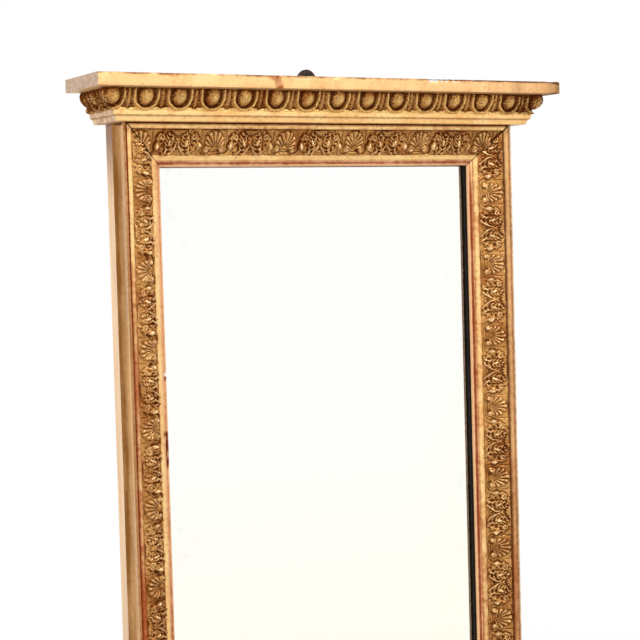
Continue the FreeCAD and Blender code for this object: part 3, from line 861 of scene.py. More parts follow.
for turn, reach in zip(lobe_turns, lobe_reaches):
    lobe = bend_through([from_hub(turn, 0.8), from_hub(turn, 0.5 * reach), from_hub(turn, reach - 1.9)])
    relief = ridge(relief, lobe, [0.7, 1.8, 2.7], [2.8, 4.6, 4.2])
for turn, reach in zip((8.5, 26, 44.5, 64.5), lobe_reaches):
    relief = groove(relief, bend_through([from_hub(turn, 2.5), from_hub(turn, reach - 2.2)]), 0.42, 1.5)
for level, reach in ((22.6, 2.6), (25.2, 4.0)):
    relief = ridge(relief, bend_through([(0, level), (reach, level)]), [1.2], [2.6])
under_shell = bend_through([(17.2, 21.0), (16.6, 28.2), (10.5, 29.6), (4.6, 27.0)])
relief = ridge(relief, under_shell, [1.6, 1.5, 1.4, 1.0], [2.4, 2.6, 2.6, 2.2])
small_volute = scroll(8.4, 21.4, (2.5, 0.8), (0.25, -0.75))
relief = ridge(relief, small_volute, [1.2, 1.7, 2.1], [3.0, 4.4, 5.2])
side_ball = bend_through([(17.4, 14.6), (17.0, 17.2), (17.6, 19.8)])
relief = ridge(relief, side_ball, [1.9, 3.0, 2.2], [4.6, 6.5, 5.0])
print("shell rises", round(float(relief.max()), 2), "mm")

# %% The spray of leaves
leaflet_samples = 14


def acanthus(field, line, pairs, reach, height):
    """The relief with a leaf on it: leaflets spring in pairs from a grooved midrib."""
    run = np.gradient(line, axis=0)
    run /= np.linalg.norm(run, axis=1)[:, None]
    square_on = np.stack([-run[:, 1], run[:, 0]], 1)
    for share in np.linspace(0.1, 0.96, pairs):
        sample = int(share * (len(line) - 1))
        length = reach * sin(pi * (0.2 + 0.62 * share))
        for side in (-1, 1):
            out = side * length * square_on[sample]
            root = line[sample]
            tip = root + 0.9 * out + 0.7 * length * run[sample]
            leaflet = bend_through([root, root + 0.6 * out, tip], leaflet_samples)
            field = ridge(field, leaflet, [0.8, 1.5, 1.2], [0.7 * height, height, 0.75 * height])
    return groove(field, line, 0.55, 0.9)


middle_rib = spray([(0.0, 25.0), (0.0, 16.0), (0.0, 9.6)])
main_rib = spray([(10.8, 27.4), (7.4, 20.0), (9.8, 12.0), (7.6, 4.6)])
scroll_stem = spray([(13.0, 27.4), (15.5, 22.4), (21.0, 18.4), (21.4, 8.8)])
volute = scroll(middle - 17.4, 8.6, (3.7, 0.9), (0.45, 1.55))
curled_leaf = spray([(14.6, 14.0), (18.4, 13.4), (20.6, 4.0), (14.6, 3.2)])
berry = spray([(8.2, 16.8), (8.8, 14.0), (9.6, 11.4)])
lyre_arm = spray([(0.2, 10.0), (0.4, 15.0), (2.6, 20.0), (8.8, 27.4)])
low_shoot = spray([(15.0, 27.4), (13.0, 24.0), (10.2, 20.6)])
relief = acanthus(relief, middle_rib, 4, 3.0, 3.4)
relief = acanthus(relief, main_rib, 6, 4.8, 4.2)
relief = acanthus(relief, scroll_stem, 4, 2.8, 3.8)
relief = ridge(relief, scroll_stem, [1.1, 1.6, 1.5, 1.4], [2.4, 3.4, 4.0, 3.8])
relief = ridge(relief, volute, [1.4, 1.5, 1.9], [3.8, 4.2, 5.2])
relief = acanthus(relief, curled_leaf, 4, 2.2, 3.2)
relief = ridge(relief, berry, [1.6, 2.3, 1.6], [5.0, 6.0, 5.2])
relief = ridge(relief, lyre_arm, [0.9, 1.1, 1.4, 1.4], [3.0, 4.1, 4.8, 3.4])
relief = ridge(relief, low_shoot, [1.0, 1.3, 0.9], [3.2, 4.6, 4.4])
crown_cup = 1 - ((relief_along - middle) / 8.2) ** 2 - (relief_across / 7.4) ** 2
relief = np.where(crown_cup > 0, 0.6 * eased(crown_cup, 0.2, 0.5), relief)
for turn, reach in ((0, 5.0), (32, 5.2), (62, 5.8), (84, 6.8)):
    tip = (reach * sin(radians(turn)), reach * cos(radians(turn)))
    root = (0.2 * tip[0], 0.2 * tip[1])
    relief = ridge(relief, spray([root, tip]), [0.8, 1.3, 1.4], [2.2, 3.4, 3.6])
print("spray rises", round(float(relief.max()), 2), "mm")

# %% Ground, seams and hollows of the relief
seam = 13.4
plain = eased(relief_along, 7.5, 9) * eased(seam - relief_along, 0, 1) * eased(8.0 - relief_across, 0, 2)
relief = np.maximum(relief, 1.1 * plain)
relief -= 1.3 * np.exp(-((relief_along - seam) / 0.35) ** 2) * eased(13 - relief_across, 0, 2)
relief *= eased(relief_across, -0.3, 1.2) * eased(band_slope - relief_across, -0.2, 1.0)


def softened(field, radius):
    """The field averaged over about that many millimetres, mirrored at its ends."""
    reach = int(radius / relief_step)
    for axis in (0, 1):
        for _ in range(2):
            width = [(reach, reach) if number == axis else (0, 0) for number in (0, 1)]
            padded = np.cumsum(np.pad(field, width, mode="reflect"), axis=axis)
            size = field.shape[axis]
            upper = np.take(padded, np.arange(2 * reach, 2 * reach + size), axis=axis)
            lower = np.take(padded, np.arange(0, size), axis=axis)
            field = (upper - lower) / (2 * reach)
    return field


near_level = softened(relief, 0.8)
wide_level = softened(relief, 2.5)
# creases and low ground are darkened as soot and painted shade; crests get painted highlights
crease = np.clip((near_level - relief) / 0.75, 0, 1)
low_ground = np.clip((wide_level - relief) / 1.8, 0, 1) * (1 - 0.55 * eased(fan, 0, 0.2))
relief_soot_and_shade = np.clip(0.9 * crease + 0.44 * low_ground + 0.15 * plain, 0, 1)
relief_highlight = np.clip((relief - wide_level) / 1.7, 0, 1) * np.clip((relief - 1.2) / 4.0, 0, 1)
print("mean hollow", round(float(relief_soot_and_shade.mean()), 3))
print("mean crest", round(float(relief_highlight.mean()), 3))

# %% [markdown]
# The half repeat is then laid along each side. A cast strip is never quite even, so the pattern wanders
# by a fraction of a millimetre and every pressing is a little weaker or stronger than the next.

# %% Reading the relief
band_outer = np.array([band_start, 44.3])
band_inner = np.array([band_end, 32.6])
seat_depth = 2.0
band_rows = 48
slope_run = (band_inner - band_outer) / band_slope
slope_normal = np.array([-slope_run[1], slope_run[0]])
over = np.linspace(0, band_slope, band_rows)
foot = np.array([band_inner, band_outer]) - np.array([0, seat_depth])
band_points = np.concatenate([band_outer + over[:, None] * slope_run, foot])
on_top = np.arange(len(band_points)) < band_rows


def read_relief(field, along, across):
    """The height map at any distance from a shell and over the band, between its points."""
    fold = np.abs((along + middle) % shell_pitch - middle)
    column = np.clip(fold / relief_step, 0, field.shape[0] - 1.001)
    row = np.clip(across / relief_step, 0, field.shape[1] - 1.001)
    low_column, low_row = column.astype(int), row.astype(int)
    part_column, part_row = column - low_column, row - low_row
    near = field[low_column, low_row] * (1 - part_row) + field[low_column, low_row + 1] * part_row
    far = field[low_column + 1, low_row] * (1 - part_row) + field[low_column + 1, low_row + 1] * part_row
    return near * (1 - part_column) + far * part_column


print("the band slopes over", round(band_slope, 2), "mm")

# %% Ornament bands
band_spacing = 0.62
first_shell = {"top": 19.5, "bottom": 30.3, "left": 69.5, "right": 75.8}
repeats_in = {"top": 81.0, "bottom": 79.2, "left": 79.2, "right": 79.2}
# band shade is painted shade: most on the top band under the cornice, a little on the left stile
band_shade = {"top": 0.1, "bottom": 0.0, "left": 0.05, "right": 0.0}
band_ends = [0, 1, 2, -3, -2, -1]
end_fade = np.array([0.25, 0.4, 0.7, 0.7, 0.4, 0.25])[:, None]
own_cast = 90.0


def band_features(side, places, from_shell, over_all, crumbs):
    """Soot and painted shade in hollows, painted highlights, chips and darkening of one band."""
    # painted shade lower down; the top band darker towards the right; painted shade on the left band's
    # outer side
    band_darkening = 0.16 * eased(-places[..., 2], 330, 620)
    if side == "top":
        band_darkening = band_darkening + 0.12 * eased(places[..., 0], 60, 200)
    # painted light: the upper stiles keep less shade and brighter highlights
    upper_painted_light = eased(places[..., 2], -480, -180) if side in upright_sides else 0.0
    turned_from_light = eased(over_all, 3, 25) if side == "left" else 0.5
    band_darkening = band_darkening + 0.24 * (turned_from_light - 0.5)
    # soot and painted shade in the hollows
    soot_and_shade = read_relief(relief_soot_and_shade, from_shell, over_all) - 0.12 * crumbs
    soot_and_shade = soot_and_shade * (1 - 0.16 * upper_painted_light) * (0.75 + 0.5 * turned_from_light)
    # painted highlights on the crests
    highlight = read_relief(relief_highlight, from_shell, over_all) * (1 + 0.2 * upper_painted_light)
    at_joint = np.zeros(over_all.shape)
    at_joint[band_ends] = 1.0
    return {
        "hollow_and_shade": np.where(on_top, soot_and_shade, 1),
        "crest_highlight": np.where(on_top, highlight, 0),
        "chipped": spots(places, chip_marks),
        # a darker outer edge of the band, the band shade and the darkening above
        "grime_and_shade": np.maximum(at_joint, 0.3 * eased(1.2 - over_all, 0, 1.2) + band_shade[side] + band_darkening),
    }


for number, side in enumerate(frame_sides):
    length = frame_sides[side][3]
    along = opened(side, mitred_run(length, band_points[None, :, 0], 1, 1, band_spacing))
    flat_across = np.broadcast_to(band_points[:, 0], along.shape)
    sheet = np.stack([along, flat_across, np.full(along.shape, own_cast * number)], -1)
    down_run = length - along if side in ("top", "right") else along
    from_shell = (down_run - first_shell[side]) * shell_pitch / repeats_in[side]
    from_shell = from_shell + 0.9 * unevenness(sheet, 12, 20) + 0.55 * unevenness(sheet, 4, 24)
    over_all = np.concatenate([over, [0, 0]])[None] + 0.8 * unevenness(sheet, 11, 21)
    over_all = over_all + 0.5 * unevenness(sheet, 4, 25)
    pressed = 1 + 0.2 * unevenness(sheet, 26, 22) + 0.35 * unevenness(sheet, 4.5, 23)
    crumbs = unevenness(sheet, 1.9, 26)
    height = np.where(on_top, read_relief(relief, from_shell, over_all) * pressed + 0.3 * crumbs, 0)
    height[band_ends] *= end_fade
    across = band_points[None, :, 0] + height * slope_normal[0]
    out = band_points[None, :, 1] + height * slope_normal[1]
    places = on_frame(side, along, across, out)
    features = band_features(side, places, from_shell, over_all, crumbs)
    mesh = grid_mesh("pressed_band_" + side, places, features)
    add_piece("pressed_band_" + side, mesh, pressed_gilding, "gilt_composition", "ornament_" + side)
    print("band", side, len(mesh.polygons), "faces")

# %% [markdown]
# ## The cornice slab
#
# A plain pine board lies on top of everything. Its front edge is gilded like the rest, its ends are dull,
# and its top, which nobody sees, was left bare. Years of lifting have rounded its corners and knocked
# flakes off the front edge. A bevelled box would be too even for that, so the slab is a grid as well,
# drawn in at its ends, with the flakes and knocks sunk into its edges.

# %% Cornice slab
slab_half = 270.0
slab_front = -88.3
slab_low, slab_high = -18.0, -5.0
slab_section, slab_arris, _ = eased_section([
    (0.0, slab_low, 0.5), (slab_front, slab_low, 1.0), (slab_front, slab_high, 1.3),
    (0.0, slab_high, 0.5)], 3.0)
slab_spacing, left_round, right_round = 3.0, 0.8, 5.6
flake_depth, knock_depth = 0.7, 0.8
slab_rub_marks = [
    (-79, -88, -6, 8.0, 0.6), (-78, -88, -10, 8.0, 0.76), (-76, -88, -15, 7.0, 0.68),
    (-85, -88, -7, 6.0, 0.56), (-200, -88, -6, 9.5, 0.36), (-193, -88, -7, 8.0, 0.36),
    (270, -84, -10, 16.0, 0.3), (-262, -88, -7, 6.0, 0.3), (-269, -88, -12, 6.0, 0.45),
    (150, -88, -5, 14.0, 0.3), (60, -88, -5, 16.0, 0.26), (190, -88, -8, 5.0, 0.3),
]
slab_chip_marks = [
    (103, -88, -5.5, 3.0, 1.0), (108, -88, -6.5, 3.2, 1.0), (115, -88, -5.5, 2.6, 1.0),
    (122, -88, -5.2, 2.0, 1.0), (131, -88, -5.2, 2.6, 1.0),
]


def slab_columns():
    """Places along the slab, closer at its rounded ends, and how far its section draws in there."""
    inner = np.linspace(-slab_half + left_round, slab_half - right_round, int(2 * slab_half / slab_spacing))
    angles = np.linspace(0, pi / 2, 7)[1:]
    left = -slab_half + left_round * (1 - np.sin(angles[::-1]))
    right = slab_half - right_round * (1 - np.sin(angles))
    sink_left = left_round * (1 - np.cos(angles[::-1]))
    sink_right = right_round * (1 - np.cos(angles))
    along = np.concatenate([left, inner, right])
    return along, np.concatenate([sink_left, np.zeros(len(inner)), sink_right])


along, sink = slab_columns()
slab_middle = (slab_low + slab_high) / 2
drawn_back = slab_section[None, :, 0] * (1 + sink[:, None] / slab_front)
drawn_in = slab_middle + (slab_section[None, :, 1] - slab_middle) * (1 - 0.05 * sink[:, None])
places = np.stack([np.broadcast_to(along[:, None], drawn_in.shape), drawn_back, drawn_in], axis=-1)
on_front = places[..., 1] < slab_front + 6
flake = slab_arris[None] * eased(unevenness(places, 7, 31) + 0.5 * unevenness(places, 22, 32), 0.55, 1.1)
knocks = spots(places, slab_chip_marks)
dent = np.where(on_front, flake_depth * flake + knock_depth * knocks, 0)
places[..., 1] += dent
places[..., 2] += dent * np.sign(slab_middle - places[..., 2])
print("slab", slab_half * 2, "mm long, deepest dent", round(float(dent.max()), 2), "mm")

# %% Wear of the slab
sideways, height = places[..., 0], places[..., 2]
on_end = eased(np.abs(along), slab_half - 0.6, slab_half - 0.1)[:, None]
not_end = 1 - on_end
behind_front = eased(places[..., 1], slab_front + 2, slab_front + 5)
at_back = eased(places[..., 1], -3, -1)
worn_edge = on_front * eased(height, -7.6, -6.2) * (0.5 + 0.2 * unevenness(places, 12, 35))
patches = 0.6 + 0.6 * unevenness(places, 16, 34)
# painted shade along the underside edge of the front
slab_underside_shade = 0.4 * eased(-16.8 - height, 0, 1.0)
# painted shade where the right end turns away
right_end_shade = 0.6 * eased(sideways, 244, 269)
# darker along the top edge towards the right
top_edge_darkening = 0.5 * eased(height, -6.6, -5.4) * eased(sideways, 60, 200)
poor_leaf = 0.2 + 0.25 * eased(along, -60, 270)
features = {
    "arris": slab_arris[None] * np.where(on_front, 0.8 + 0.3 * unevenness(places, 30, 33), 0),
    "rubbed": np.maximum(spots(places, slab_rub_marks), 0.4 * worn_edge) * not_end,
    # bronze tone that also paints shade towards the right end, in patches
    "bronze_and_shade": on_front * 0.3 * eased(sideways, 90, 250) * patches,
    "thin": np.broadcast_to(poor_leaf[:, None], on_front.shape),
    "chipped": knocks,
    "dull": np.broadcast_to(on_end, on_front.shape),
    "bare": np.maximum(behind_front * (height > -8), at_back) * not_end,
    "grime_and_shade": np.clip(worn_edge + slab_underside_shade + right_end_shade + top_edge_darkening, 0, 1) * not_end,
}
mesh = grid_mesh("gilded_slab", places, features)
add_piece("gilded_slab", mesh, water_gilding, "gilt_wood", "cornice_slab")
print("slab", len(mesh.polygons), "faces")

# %% [markdown]
# ## Egg-and-dart
#
# Under the slab runs the one carved moulding. Eggs sit in deep cups with a raised rim, open at the top,
# and a dart points down between each pair. The first and last egg of the front stand on the corners and
# face both ways. A carver works this from a plain quarter-round, so the code does too: the envelope of
# the moulding is cut back by a depth that depends on the place along the run and the height, and each run
# ends exactly where it meets the next on the mitre.

# %% Sizes of the eggs
core_front = -47.3
egg_low, egg_high = -40.4, -18.0
egg_seat = 19.5
eggs_across = 15
egg_pitch = (frame_width + 2 * egg_seat) / (eggs_across - 1)
egg_centre_height = -26.0
egg_half_width = 7.9
egg_above, egg_below = 11.5, 8.7
egg_relief = 6.4
rim_radius = 12.3
rim_thickness = 2.0
rim_relief = 4.6
dart_tip, dart_shoulder = -38.4, -32.0
dart_half, dart_taper, dart_head, dart_relief = 1.9, 0.05, 2.4, 3.8
foot_height, foot_low, foot_front = -35.4, -39, 16.9
gap_relief = 0.9
lit_side = -1
ovolo_low, ovolo_foot, ovolo_swell = -38.8, 16.6, 12.0


def envelope(height):
    """Projection of the uncarved moulding at a height: a quarter-round that leans out to the slab."""
    share = np.clip((height - ovolo_low) / (egg_high - ovolo_low), 0, 1)
    return ovolo_foot + ovolo_swell * np.sin(share * pi / 2) ** 0.8


print("eggs every", round(egg_pitch, 2), "mm, cut", egg_relief, "mm deep")

# %% The carver's cuts
def cut_parts(offset, height, corner, ground):
    """How far the egg, rim, dart, foot and gap stand out, and the dome of the egg and way to the rim."""
    lift = height - egg_centre_height
    tall = np.where(lift > 0, egg_above, egg_below)
    dome = np.clip(1 - (offset / egg_half_width) ** 2 - (lift / tall) ** 2, 0, None)
    egg = np.where(corner, egg_half_width + 1, egg_relief) * np.sqrt(dome)
    from_rim = np.hypot(offset, np.minimum(lift, 0)) - rim_radius
    fuller = 1 + 0.75 * eased(-31 - height, 0, 5)
    rim = rim_relief * fuller * np.clip(1 - (from_rim / rim_thickness) ** 2, 0, None) ** 0.5
    from_dart = egg_pitch / 2 - np.abs(offset)
    shaft = dart_half + dart_taper * (height - dart_shoulder)
    head = dart_head * np.clip((height - dart_tip) / (dart_shoulder - dart_tip), 0, 1)
    half_dart = np.where(height > dart_shoulder, shaft, head) + 0.01
    dart = dart_relief * np.clip(1 - from_dart / half_dart, 0, 1) ** 0.5
    foot_top = foot_height - 1.6 * np.exp(-(from_dart / 2.4) ** 2)
    foot = (foot_front - ground) * eased(foot_top - height, 0, 0.8) * (height > foot_low)
    gap = gap_relief * (from_rim > 0)
    return {"egg": egg, "rim": rim, "dart": dart, "foot": foot, "gap": gap}, dome, from_rim


def carved(offset, height, corner):
    """Projection, hollows, painted shade and highlights, offset from the nearest egg, rounder on a corner.
    """
    ground = envelope(height) - egg_relief
    parts, dome, from_rim = cut_parts(offset, height, corner, ground)
    stands = np.maximum.reduce(list(parts.values()))
    lift = height - egg_centre_height
    to_light = offset * lit_side
    # painted highlight on each egg's side towards the light
    egg_highlight_spot = 0.8 * np.clip(1 - ((to_light - 1.4) / 6.6) ** 2 - ((lift + 1.4) / 8.0) ** 2, 0, 1)
    # painted highlight along the rim
    rim_highlight = 0.74 * (np.clip(1.2 - (from_rim / 1.5) ** 2, 0, 1) * (parts["rim"] > 0))
    # painted highlight along the dart
    dart_highlight = 0.3 * np.clip(parts["dart"] / 4 - 0.5, 0, 1)
    # the fascia showing between the rims is painted bright as a highlight
    on_foot = (parts["foot"] > 2.2) & (parts["foot"] > parts["rim"])
    crest_highlight = np.maximum.reduce([rim_highlight, egg_highlight_spot, dart_highlight, 0.95 * on_foot])
    # painted shade on the side of the egg away from the light
    leaning = 0.7 - 0.4 * np.clip((to_light - lift) / 9, -1, 1)
    side_shade = 0.7 * leaning * (1 - eased(dome, 0.0, 0.7)) * (parts["egg"] > 0)
    # dirt in the low parts, and a painted shadow of the slab over the top of the egg
    hollow_and_shade = np.clip(1 - stands / 2.6, 0, 1) + side_shade + 0.35 * eased(lift, 0, 7)
    hollow_and_shade = hollow_and_shade * (1 - on_foot)
    return ground + stands, np.clip(hollow_and_shade, 0, 1), np.clip(crest_highlight, 0, 1)


crown_of_egg = carved(np.zeros(1), np.full(1, egg_centre_height), np.zeros(1, bool))[0]
print("an egg stands out", round(float(crown_of_egg[0]), 2), "mm from the core")

# %% A run that ends on its mitres
egg_spacing, egg_rows = 0.6, 44
end_zone = 30.0


def egg_run(length, first_egg, start_mitre, end_mitre):
    """Grid of (along, projection, height) for one run, and its features."""
    heights = np.linspace(egg_high, egg_low, egg_rows)

    def surface(along, height):
        offset = (along - first_egg + egg_pitch / 2) % egg_pitch - egg_pitch / 2
        on_corner = (start_mitre & (along < 0)) | (end_mitre & (along > length))
        return carved(offset, height, on_corner)

    ends = []
    for mitre, sign, corner_at in ((start_mitre, -1, 0.0), (end_mitre, 1, length)):
        low = np.full(egg_rows, 6.0)
        high = np.full(egg_rows, 36.0)
        for _ in range(40):
            guess = (low + high) / 2
            short = surface(corner_at + sign * guess, heights)[0] > guess
            low = np.where(short, guess, low)
            high = np.where(short, high, guess)
        ends.append(corner_at + sign * low * mitre)
    first, last = -egg_seat * start_mitre, length + egg_seat * end_mitre
    even = np.linspace(first, last, int((last - first) / egg_spacing))[:, None]
    near_first = np.clip(1 - (even - first) / end_zone, 0, 1)
    near_last = np.clip(1 - (last - even) / end_zone, 0, 1)
    along = even + near_first * (ends[0][None] - first) + near_last * (ends[1][None] - last)
    height = np.broadcast_to(heights, along.shape)
    projection, hollow_and_shade, crest_highlight = surface(along, height)
    wear = np.stack([along, projection, height], axis=-1)
    settled = np.clip(np.minimum(even - first, last - even) / 3, 0, 1)
    projection = projection + settled * (0.25 * unevenness(wear, 6, 41) + 0.3 * unevenness(wear, 2.0, 42))
    return along, projection, height, hollow_and_shade, crest_highlight


print("a run is cut in", egg_rows, "rows, every", egg_spacing, "mm")

# %% Egg-and-dart runs
# the returns are made darker
return_darkening = 0.62
cornice_sides = {
    "front": ((half_width, core_front, 0), (-1, 0, 0), (0, -1, 0), frame_width, True, True),
    "left": ((-half_width, core_front, 0), (0, 1, 0), (-1, 0, 0), -core_front, True, False),
    "right": ((half_width, 0, 0), (0, -1, 0), (1, 0, 0), -core_front, False, True),
}


def on_cornice(side, along, projection, height):
    """Places on one side of the cornice, from distances along it, out from its core, and heights."""
    corner, run, outwards = [np.array(value, float) for value in cornice_sides[side][:3]]
    upright = np.array([0.0, 0.0, 1.0])
    return corner + along[..., None] * run + projection[..., None] * outwards + height[..., None] * upright


for side, (corner, run, outwards, length, start_mitre, end_mitre) in cornice_sides.items():
    first_egg = -egg_seat if start_mitre else length + egg_seat
    along, projection, height, hollow_and_shade, crest_highlight = egg_run(length, first_egg, start_mitre, end_mitre)
    back_along = np.clip(along[:, [-1, 0]], 0, length)
    along = np.concatenate([along, back_along], axis=1)
    projection = np.concatenate([projection, np.zeros_like(back_along)], axis=1)
    height = np.concatenate([height, np.broadcast_to([egg_low, egg_high], back_along.shape)], axis=1)
    places = on_cornice(side, along, projection, height)
    edge = np.ones_like(back_along)
    # darker towards the right end of the front, and on the returns
    soot_and_shade = 0.45 * eased(places[..., 0], 185, 232) if side == "front" else return_darkening
    features = {
        "hollow_and_shade": np.concatenate([hollow_and_shade, edge], axis=1),
        "crest_highlight": np.concatenate([crest_highlight, 0 * edge], axis=1),
        # painted shadow of the slab along the top of the eggs
        "grime_and_shade": 0.3 * eased(height, -21.0, -18.5) + soot_and_shade,
    }
    mesh = grid_mesh("egg_run_" + side, places, features)
    add_piece("egg_run_" + side, mesh, egg_gilding, "gilt_wood", "egg_moulding_" + side)
    print("eggs", side, len(mesh.polygons), "faces")

# %% [markdown]
# ## The bed moulding
#
# Below the eggs comes a plain fascia, a fine step and a hollow that draws back to the frame. The front is
# the brightest gold of the whole mirror. The returns, which a sideways glance would catch, got little
# leaf. It is swept like the members of the frame, but its ends are turned outwards onto the mitres,
# because it runs round the outside of the cornice.

# %% Bed moulding
bed_section, bed_arris, bed_quirk = eased_section([
    (0.0, -38.0, 0.0), (16.0, -38.0, 0.8), (16.6, -39.0, 0.8), (16.6, -43.4, 0.6), (15.2, -43.7, 0.2),
    (15.1, -44.3, 0.3), (13.9, -44.8, 0.8), (13.3, -46.4, 1.0), (12.8, -48.2, 0.8), (12.4, -49.4, 0.5),
    (1.6, -49.4, 0.3), (1.6, -47.2, 0.2), (0.0, -47.2, 0.0)], 1.4)
bed_spacing, bed_mitre_zone = 3.0, 40.0
bed_out_of_true, return_dull = 0.15, 0.56

for side, (corner, run, outwards, length, start_mitre, end_mitre) in cornice_sides.items():
    start, end = -int(start_mitre), -int(end_mitre)
    along = mitred_run(length, bed_section[None, :, 0], start, end, bed_spacing, bed_mitre_zone)
    projection = np.broadcast_to(bed_section[None, :, 0], along.shape)
    height = np.broadcast_to(bed_section[None, :, 1], along.shape)
    places = on_cornice(side, along, projection, height)
    places = places + bed_out_of_true * unevenness(places, 60, 51)[..., None] * np.array([0, 1, 1])
    # painted shade on the underside of the bed moulding
    bed_underside_shade = eased(-49.1 - height, 0, 0.4) + eased(9.0 - projection, 0, 1)
    step_line = eased(-43.3 - height, 0, 0.3) * eased(height, -45.2, -44.6)
    features = {
        "arris": np.broadcast_to(bed_arris * 0.7, along.shape),
        "quirk": np.broadcast_to(bed_quirk * 0.2, along.shape),
        "grime_and_shade": np.clip(bed_underside_shade * 0.1 + step_line * 0.4, 0, 1),
        "dull": np.full(along.shape, 0.0 if side == "front" else return_dull),
    }
    mesh = grid_mesh("bed_run_" + side, places, features)
    add_piece("bed_run_" + side, mesh, water_gilding, "gilt_wood", "bed_moulding_" + side)
    print("bed moulding", side, len(mesh.polygons), "faces")

# %% [markdown]
# ## The silvered glass
#
# The silver lies on the back of the plate, so what the eye sees as the mirror is a bright metal a little
# behind the glass. It is made as one thin closed plate with that metal on its front. Damp has freckled
# the silver with small grey specks, more of them towards the edges, and a faint warm reflection is
# painted into it, growing towards the bottom and the right.

# %% The silvering
def silvering():
    """Old tin-and-mercury silvering, nearly perfect, with foxing specks and a painted warm reflection."""
    material, start, shader = start_finish("old_silvering")
    speck_field = clouds(start, 7, 2.0)
    fine = clouds(start, 1.6, 1.0)
    cluster = clouds(start, 90, 2.0)
    near_edge = feature(start, "edge")
    speck = (fine + cluster * 0.25 + near_edge * 0.08).climb(0.92, 1.0)
    bloom = (speck_field + cluster * 0.5 + near_edge * 0.15).climb(0.95, 1.15)
    # painted warm reflection, most towards the bottom and the right
    silver = feature(start, "warm_reflection").tint(seen(254, 254, 252), seen(255, 254, 241))
    colour = (speck * 0.5).tint(silver, seen(176, 168, 152))
    colour = (bloom * 0.12).tint(colour, seen(214, 204, 180))
    connect(start, shader, Base_Color=colour, Roughness=speck * 0.25 + bloom * 0.02)
    shader.inputs["Metallic"].default_value = 1.0
    return material


old_silvering = silvering()
print("made", old_silvering.name)

# %% The plate
plate_half = half_width - 37.0
plate_high, plate_low = frame_top - 38.0, frame_bottom + 36.1
silver_out, plate_back = 19.3, 17.6
plate_section, _, _ = eased_section([
    (-plate_high, plate_back, 0.3), (-plate_high, silver_out, 0.4), (-plate_low, silver_out, 0.4),
    (-plate_low, plate_back, 0.3)], 12.0)
along = np.linspace(-plate_half, plate_half, 40)[:, None]
height = -plate_section[None, :, 0] + 0 * along
places = np.stack([along + 0 * height, -plate_section[None, :, 1] + 0 * height, height], axis=-1)
to_side = plate_half - np.abs(places[..., 0])
to_end = np.minimum(plate_high - places[..., 2], places[..., 2] - plate_low)
features = {
    "edge": eased(60 - np.minimum(to_side, to_end), 0, 60),
    # where the warm reflection is painted
    "warm_reflection": eased(-places[..., 2], 300, 660) + 0.3 * eased(places[..., 0], 100, 190),
}
mesh = grid_mesh("silvered_plate", places, features)
add_piece("silvered_plate", mesh, old_silvering, "silvered_glass", "mirror_glass")
print("plate", 2 * plate_half, "by", round(plate_high - plate_low, 1), "mm")

# %% [markdown]
# ## Bare pine and iron
#
# Behind the gilding everything is plain pine, sawn, nailed and left to brown. The CAD pieces have the
# right shape already, so they keep it, with a narrow bevel for handled edges. Grain runs along each
# board, so the finish is told which way to draw out its rings. The side of the back frame shows from the
# front and was washed with thin yellow size, which is why it is so pale, and it is painted darker under
# the cornice and near the foot, as shade. The hanging plate and the nails are black iron.

# %% Pine and iron finishes
# brown of the painted shade on the pale side of the back frame
shade_brown = seen(148, 116, 97)


def pine(name, pale, dark, stretch, age, darkening=0.0):
    """Softwood with drawn-out rings, a few dark streaks, and painted shade under the cornice and at the
    foot.
    """
    material, start, shader = start_finish(name)
    rings = clouds(start, 9, 3.0, stretch)
    lines = clouds(start, 1.4, 3.0, stretch)
    stain = clouds(start, 60, 4.0)
    pores = clouds(start, 0.7, 1.0)
    late = (rings * 0.7 + lines * 0.4).climb(0.45, 0.72)
    colour = late.tint(pale, dark)
    colour = ((stain - 0.2) * age).climb(0.15, 0.6).tint(colour, seen(96, 70, 46))
    colour = (pores.climb(0.62, 0.75) * 0.25).tint(colour, seen(70, 48, 30))
    place = start.node("ShaderNodeTexCoord", {}, {}, "Object")
    level = start.node("ShaderNodeSeparateXYZ", {}, {0: place}, "Z")
    # painted shade under the cornice and near the foot
    shaded = level.climb(-0.135, -0.05) + (0 - level).climb(0.42, 0.64) * 0.25
    colour = (shaded * darkening * (0.6 + stain * 0.8)).tint(colour, shade_brown)
    connect(start, shader, Base_Color=colour, Roughness=0.62 + late * 0.12 + pores * 0.08)
    connect(start, shader, Normal=raised(start, lines * 0.6 + late * 0.3 + pores * 0.2, 0.25))
    return material


def iron():
    """Forged iron, blacked and lightly rusted."""
    material, start, shader = start_finish("black_iron")
    scale = clouds(start, 4, 4.0)
    pits = clouds(start, 1.1, 2.0)
    rust = (scale + pits * 0.3).climb(0.62, 0.82)
    colour = rust.tint(scale.climb(0.3, 0.7).tint(seen(40, 36, 34), seen(62, 56, 52)), seen(98, 58, 34))
    roughness = 0.42 + rust * 0.35 + pits * 0.1
    connect(start, shader, Base_Color=colour, Metallic=0.75 - rust * 0.65, Roughness=roughness)
    connect(start, shader, Normal=raised(start, pits * 0.7 + scale * 0.5, 0.3))
    return material


print("soiled pine as linear light:", [round(value, 3) for value in shade_brown])

